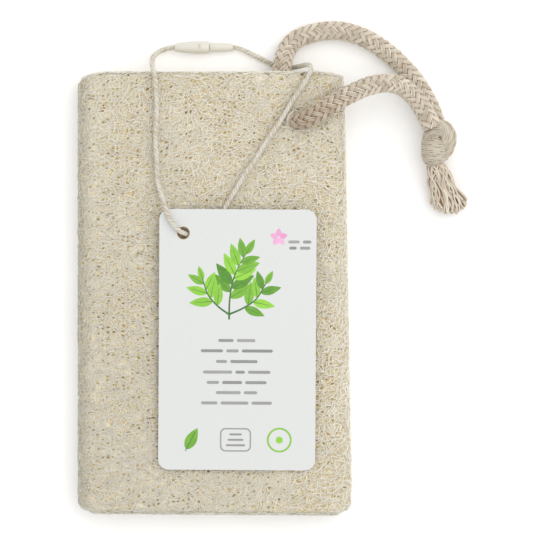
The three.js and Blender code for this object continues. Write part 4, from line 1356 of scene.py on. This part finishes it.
def skin_piece():
    """The pad's skin as three sheets: the tube, and a plate on each cut end."""
    rows = [pad_points(k / SKIN_ROWS) for k in range(SKIN_ROWS + 1)]
    shares = np.linspace(1.0, 0.04, 9)
    roped, far = ([pad_points(along, share) for share in shares] for along in (1.0, 0.0))
    section = pad_points(0.5)[:, [0, 2]]
    steps = np.linalg.norm(np.diff(section, axis=0), axis=1)
    length_round = steps.sum() + np.linalg.norm(section[0] - section[-1])
    from_fold = (np.concatenate([[0.0], np.cumsum(steps)]) + FOLD * math.pi / 2) % length_round
    around = np.tile(np.minimum(from_fold, length_round - from_fold), len(rows))
    points, sheet, faces = [], [], []
    for rings, side in ((rows, 0.0), (roped, -1.0), (far, 1.0)):
        first = sum(len(part) for part in points)
        part = np.concatenate(rings)
        points.append(part)
        u, v = (side * part[:, 0] + 0.5, part[:, 2]) if side else (around, part[:, 1])
        sheet.append(np.column_stack([u, v, np.zeros(len(part))]))
        for face in ring_faces(len(rings), RING):
            faces.append(tuple(first + corner for corner in (face[::-1] if side > 0 else face)))
    piece = new_piece("pad_skin", np.concatenate(points), faces=faces)
    normals = np.zeros(3 * len(faces))
    piece.data.polygons.foreach_get("normal", normals)
    zones = np.where(normals[2::3] > LOOKS_UP, FACE_ZONE, BACK_ZONE)
    for row in (0, SKIN_ROWS - 1):
        last = zones[row * RING : (row + 1) * RING]
        last[last == FACE_ZONE] = EDGE_ZONE
    zones[SKIN_ROWS * RING :] = END_ZONE
    piece.data.attributes.new("zone", "FLOAT", "FACE").data.foreach_set("value", zones)
    stored = piece.data.attributes.new("sheet", "FLOAT_VECTOR", "POINT")
    stored.data.foreach_set("vector", np.concatenate(sheet).ravel())
    return piece


skin = skin_piece()
for name, face in (("face", FLAT_STEPS // 2), ("roped end", (SKIN_ROWS + 1) * RING), ("far end", -20)):
    print(name, [round(v, 2) for v in skin.data.polygons[face].normal])

# %% [markdown]
# ### The inside of the net
#
# Under the visible fibres lies a body that stands for the deeper ones. Bump alone could give it
# pores, but they would have no depth between the fibres. It has the pad's form, but a little
# smaller. The way that the rope takes is bored through it. Then a Geometry Nodes tree gives each
# of its points a place on the sheet, and sinks it into its pore by the same pattern that colours
# the inside.

# %% Bore the body and sink its pores
BODY_SUNK = 0.0011
BODY_ROWS = 175
BODY_SHORTER = 0.0002
ROPE_WAY = (0.285, 0.535)
ROPE_ROOM = ROPE_DIAMETER / 2 + 0.0001


def pad_body():
    ends = [(FOLD - BODY_SUNK) * (1.0 - k / 7) for k in range(8)]
    rows = [pad_points(0.0, sunk=BODY_SUNK + more) for more in ends[:-1]]
    rows += [pad_points(k / BODY_ROWS, sunk=BODY_SUNK) for k in range(BODY_ROWS + 1)]
    rows += [pad_points(1.0, sunk=BODY_SUNK + more) for more in ends[-2::-1]]
    points = np.concatenate(rows)
    points[:, 1] *= 1.0 - BODY_SHORTER / HALF_LENGTH
    return finish_piece(new_piece("loofah_inside", points, faces=ring_faces(len(rows), RING)), net_inside)


def boring_tube(path, radius, sides=24):
    """A closed tube for boring, with its ring frame carried along the path."""
    tangents = np.gradient(path, axis=0)
    tangents /= np.linalg.norm(tangents, axis=1)[:, None]
    side = np.cross(tangents[0], (0.0, 0.0, 1.0))
    points = []
    for place, tangent in zip(path, tangents):
        side = side - tangent * np.dot(side, tangent)
        side /= np.linalg.norm(side)
        other = np.cross(tangent, side)
        for angle in (math.tau * s / sides for s in range(sides)):
            points.append(place + radius * (side * math.cos(angle) + other * math.sin(angle)))
    faces = ring_faces(len(path), sides)
    faces += [tuple(range(sides))[::-1], tuple(range(len(points) - sides, len(points)))]
    return finish_piece(new_piece("rope_way", points, faces=faces), net_inside)


def pore_group():
    graph, given = new_group("sunk_pores", {"Depth": 0.0012, "Roughness": 0.0006}, objects=["Skin"])
    over = graph.node("GeometryNodeObjectInfo", {}, {"Object": given.out("Skin")}).out("Geometry")
    place = graph.node("GeometryNodeInputPosition")
    sheet = on_surface(graph, over, named(graph, "sheet", "FLOAT_VECTOR"), place)
    marked = kept_as(graph, given.out("Geometry"), "sheet", sheet, "FLOAT_VECTOR")
    _, distance, width = pores(graph, sheet)
    pit = graph.between(distance / MESH_SIZE, 0.45, 0.1) * width
    waves = graph.noise(place, 260.0, detail=2.0) - 0.5
    depth = pit * given.out("Depth") + waves * given.out("Roughness")
    sink = graph.scaled(graph.node("GeometryNodeInputNormal"), depth * -1.0)
    return end_group(graph, moved(graph, marked, Offset=sink), given.out("Material"))


body = pad_body()
way_from, way_to = (round(share * (len(rope_path) - 1)) for share in ROPE_WAY)
cut(body, boring_tube(rope_path[way_from:way_to], ROPE_ROOM), "MANIFOLD")
pore_values = {"Depth": 0.0012, "Roughness": 0.0002, "Skin": skin, "Material": net_inside}
grow(body, pore_group(), pore_values)

# %% [markdown]
# ### The fibres
#
# Layers of fibres go on the body. On the face and on the back with the folds, a golden layer lies
# deeper and pale ones lie at the skin. A wide range of angles makes a layer look felted, and a
# narrow one combed. The face's edges get short fibres along them, and the cut ends a layer that
# stands out a little, so that the body doesn't show between face and end.

# %% Lay the fibres
PALE = {"Radius": 0.00018, "Shallow": 0.0002, "Deep": 0.0007, "Material": skin_fibre}
WARM = {"Radius": 0.00020, "Shallow": 0.0006, "Deep": 0.0010, "Crossing": 1.4, "Material": inner_fibre}
FACE, BACK = {"Zone": FACE_ZONE}, {"Zone": BACK_ZONE}
ALONG_EDGE = {"Zone": EDGE_ZONE, "Main Angle": 0.0, "Length": 0.0042}
ON_END = {
    "Zone": END_ZONE, "Shallow": -0.0002, "Deep": 0.0001, "Grain": (0.0, 0.0, 1.0), "Length": 0.0048,
}
LAYERS = [
    ("face_fibres_under", {**WARM, **FACE, "Spacing": 0.0024, "Seed": 41}),
    ("face_fibres_combed", {**PALE, **FACE, "Spacing": 0.00175, "Crossing": 0.7, "Seed": 17}),
    ("face_fibres_felted", {**PALE, **FACE, "Spacing": 0.00185, "Crossing": 1.6, "Seed": 23}),
    ("edge_fibres", {**PALE, **ALONG_EDGE, "Spacing": 0.0009, "Crossing": 0.5, "Seed": 61}),
    ("back_fibres_under", {**WARM, **BACK, "Spacing": 0.0030, "Seed": 71}),
    ("back_fibres", {**PALE, **BACK, "Shallow": 0.0004, "Spacing": 0.0020, "Crossing": 1.2, "Seed": 53}),
    ("end_fibres", {**PALE, **ON_END, "Spacing": 0.00165, "Crossing": 1.4, "Seed": 29}),
]
rope_line = line_piece("rope_line", [rope_path])
layers = []
for name, values in LAYERS:
    layer = bpy.data.objects.new(name, skin.data.copy())
    bpy.context.scene.collection.objects.link(layer)
    layers.append(grow(layer, fibres_over_a_surface, {**values, "Rope": rope_line}))
for helper in (rope_line, skin):
    bpy.data.objects.remove(helper)
dress([body, *layers], "loofah_pad")

# %% [markdown]
# ## What hangs free
#
# The rope and the string are free cords. Here only their names are printed.


print("free cords:", rope.name, "and", string.name)

# %% [markdown]
# ## Table and light
#
# The photograph was taken on white, with one large lamp high above and a little to the upper
# right, and light from all sides. So the shadows are faint and soft. The floor is near-white and
# glows a little, like a light table, and a white sky and a weak second lamp fill what the first
# one leaves.

# %% Floor, lamps and sky
FLOOR_REACH = 3.0
FLOOR_GLOW = 0.10
SKY_STRENGTH = 0.83


def floor_finish():
    material, graph, shader = new_finish("floor", 0.8)
    shade = graph.noise(object_place(graph), 3.0, detail=1.0)
    feed(graph, shader, graph.mixed(shade, (0.95, 0.95, 0.95), (0.96, 0.96, 0.96)))
    shader.inputs["Emission Color"].default_value = (1.0, 1.0, 1.0, 1.0)
    shader.inputs["Emission Strength"].default_value = FLOOR_GLOW
    return material


def lamp(name, place, size, power, warmth):
    light = bpy.data.objects.new(name, bpy.data.lights.new(name, "AREA"))
    bpy.context.scene.collection.objects.link(light)
    light.data.size, light.data.energy, light.data.color = size, power, warmth
    light.location = place
    light.rotation_euler = (-Vector(place)).to_track_quat("-Z", "Y").to_euler()
    return light


corners = [(x * FLOOR_REACH, y * FLOOR_REACH, 0.0) for x, y in ((-1, -1), (1, -1), (1, 1), (-1, 1))]
floor = new_piece("floor", corners, faces=[(0, 1, 2, 3)])
floor.data.materials.append(floor_finish())
key = lamp("key_light", (0.50, 0.30, 0.95), 1.3, 6.05, (1.0, 0.985, 0.955))
fill = lamp("fill_light", (-0.8, -0.3, 0.9), 1.0, 1.0, (0.96, 0.98, 1.0))
world = bpy.data.worlds.new("sky")
world.use_nodes = True
sky = Graph(world.node_tree)
background = {"Color": (1.0, 1.0, 1.0, 1.0), "Strength": SKY_STRENGTH}
sky.node("ShaderNodeOutputWorld", {}, {"Surface": sky.node("ShaderNodeBackground", {}, background)})
bpy.context.scene.world = world
bpy.context.scene.view_settings.view_transform = "Standard"
print("lights:", key.name, fill.name, "and a white sky")
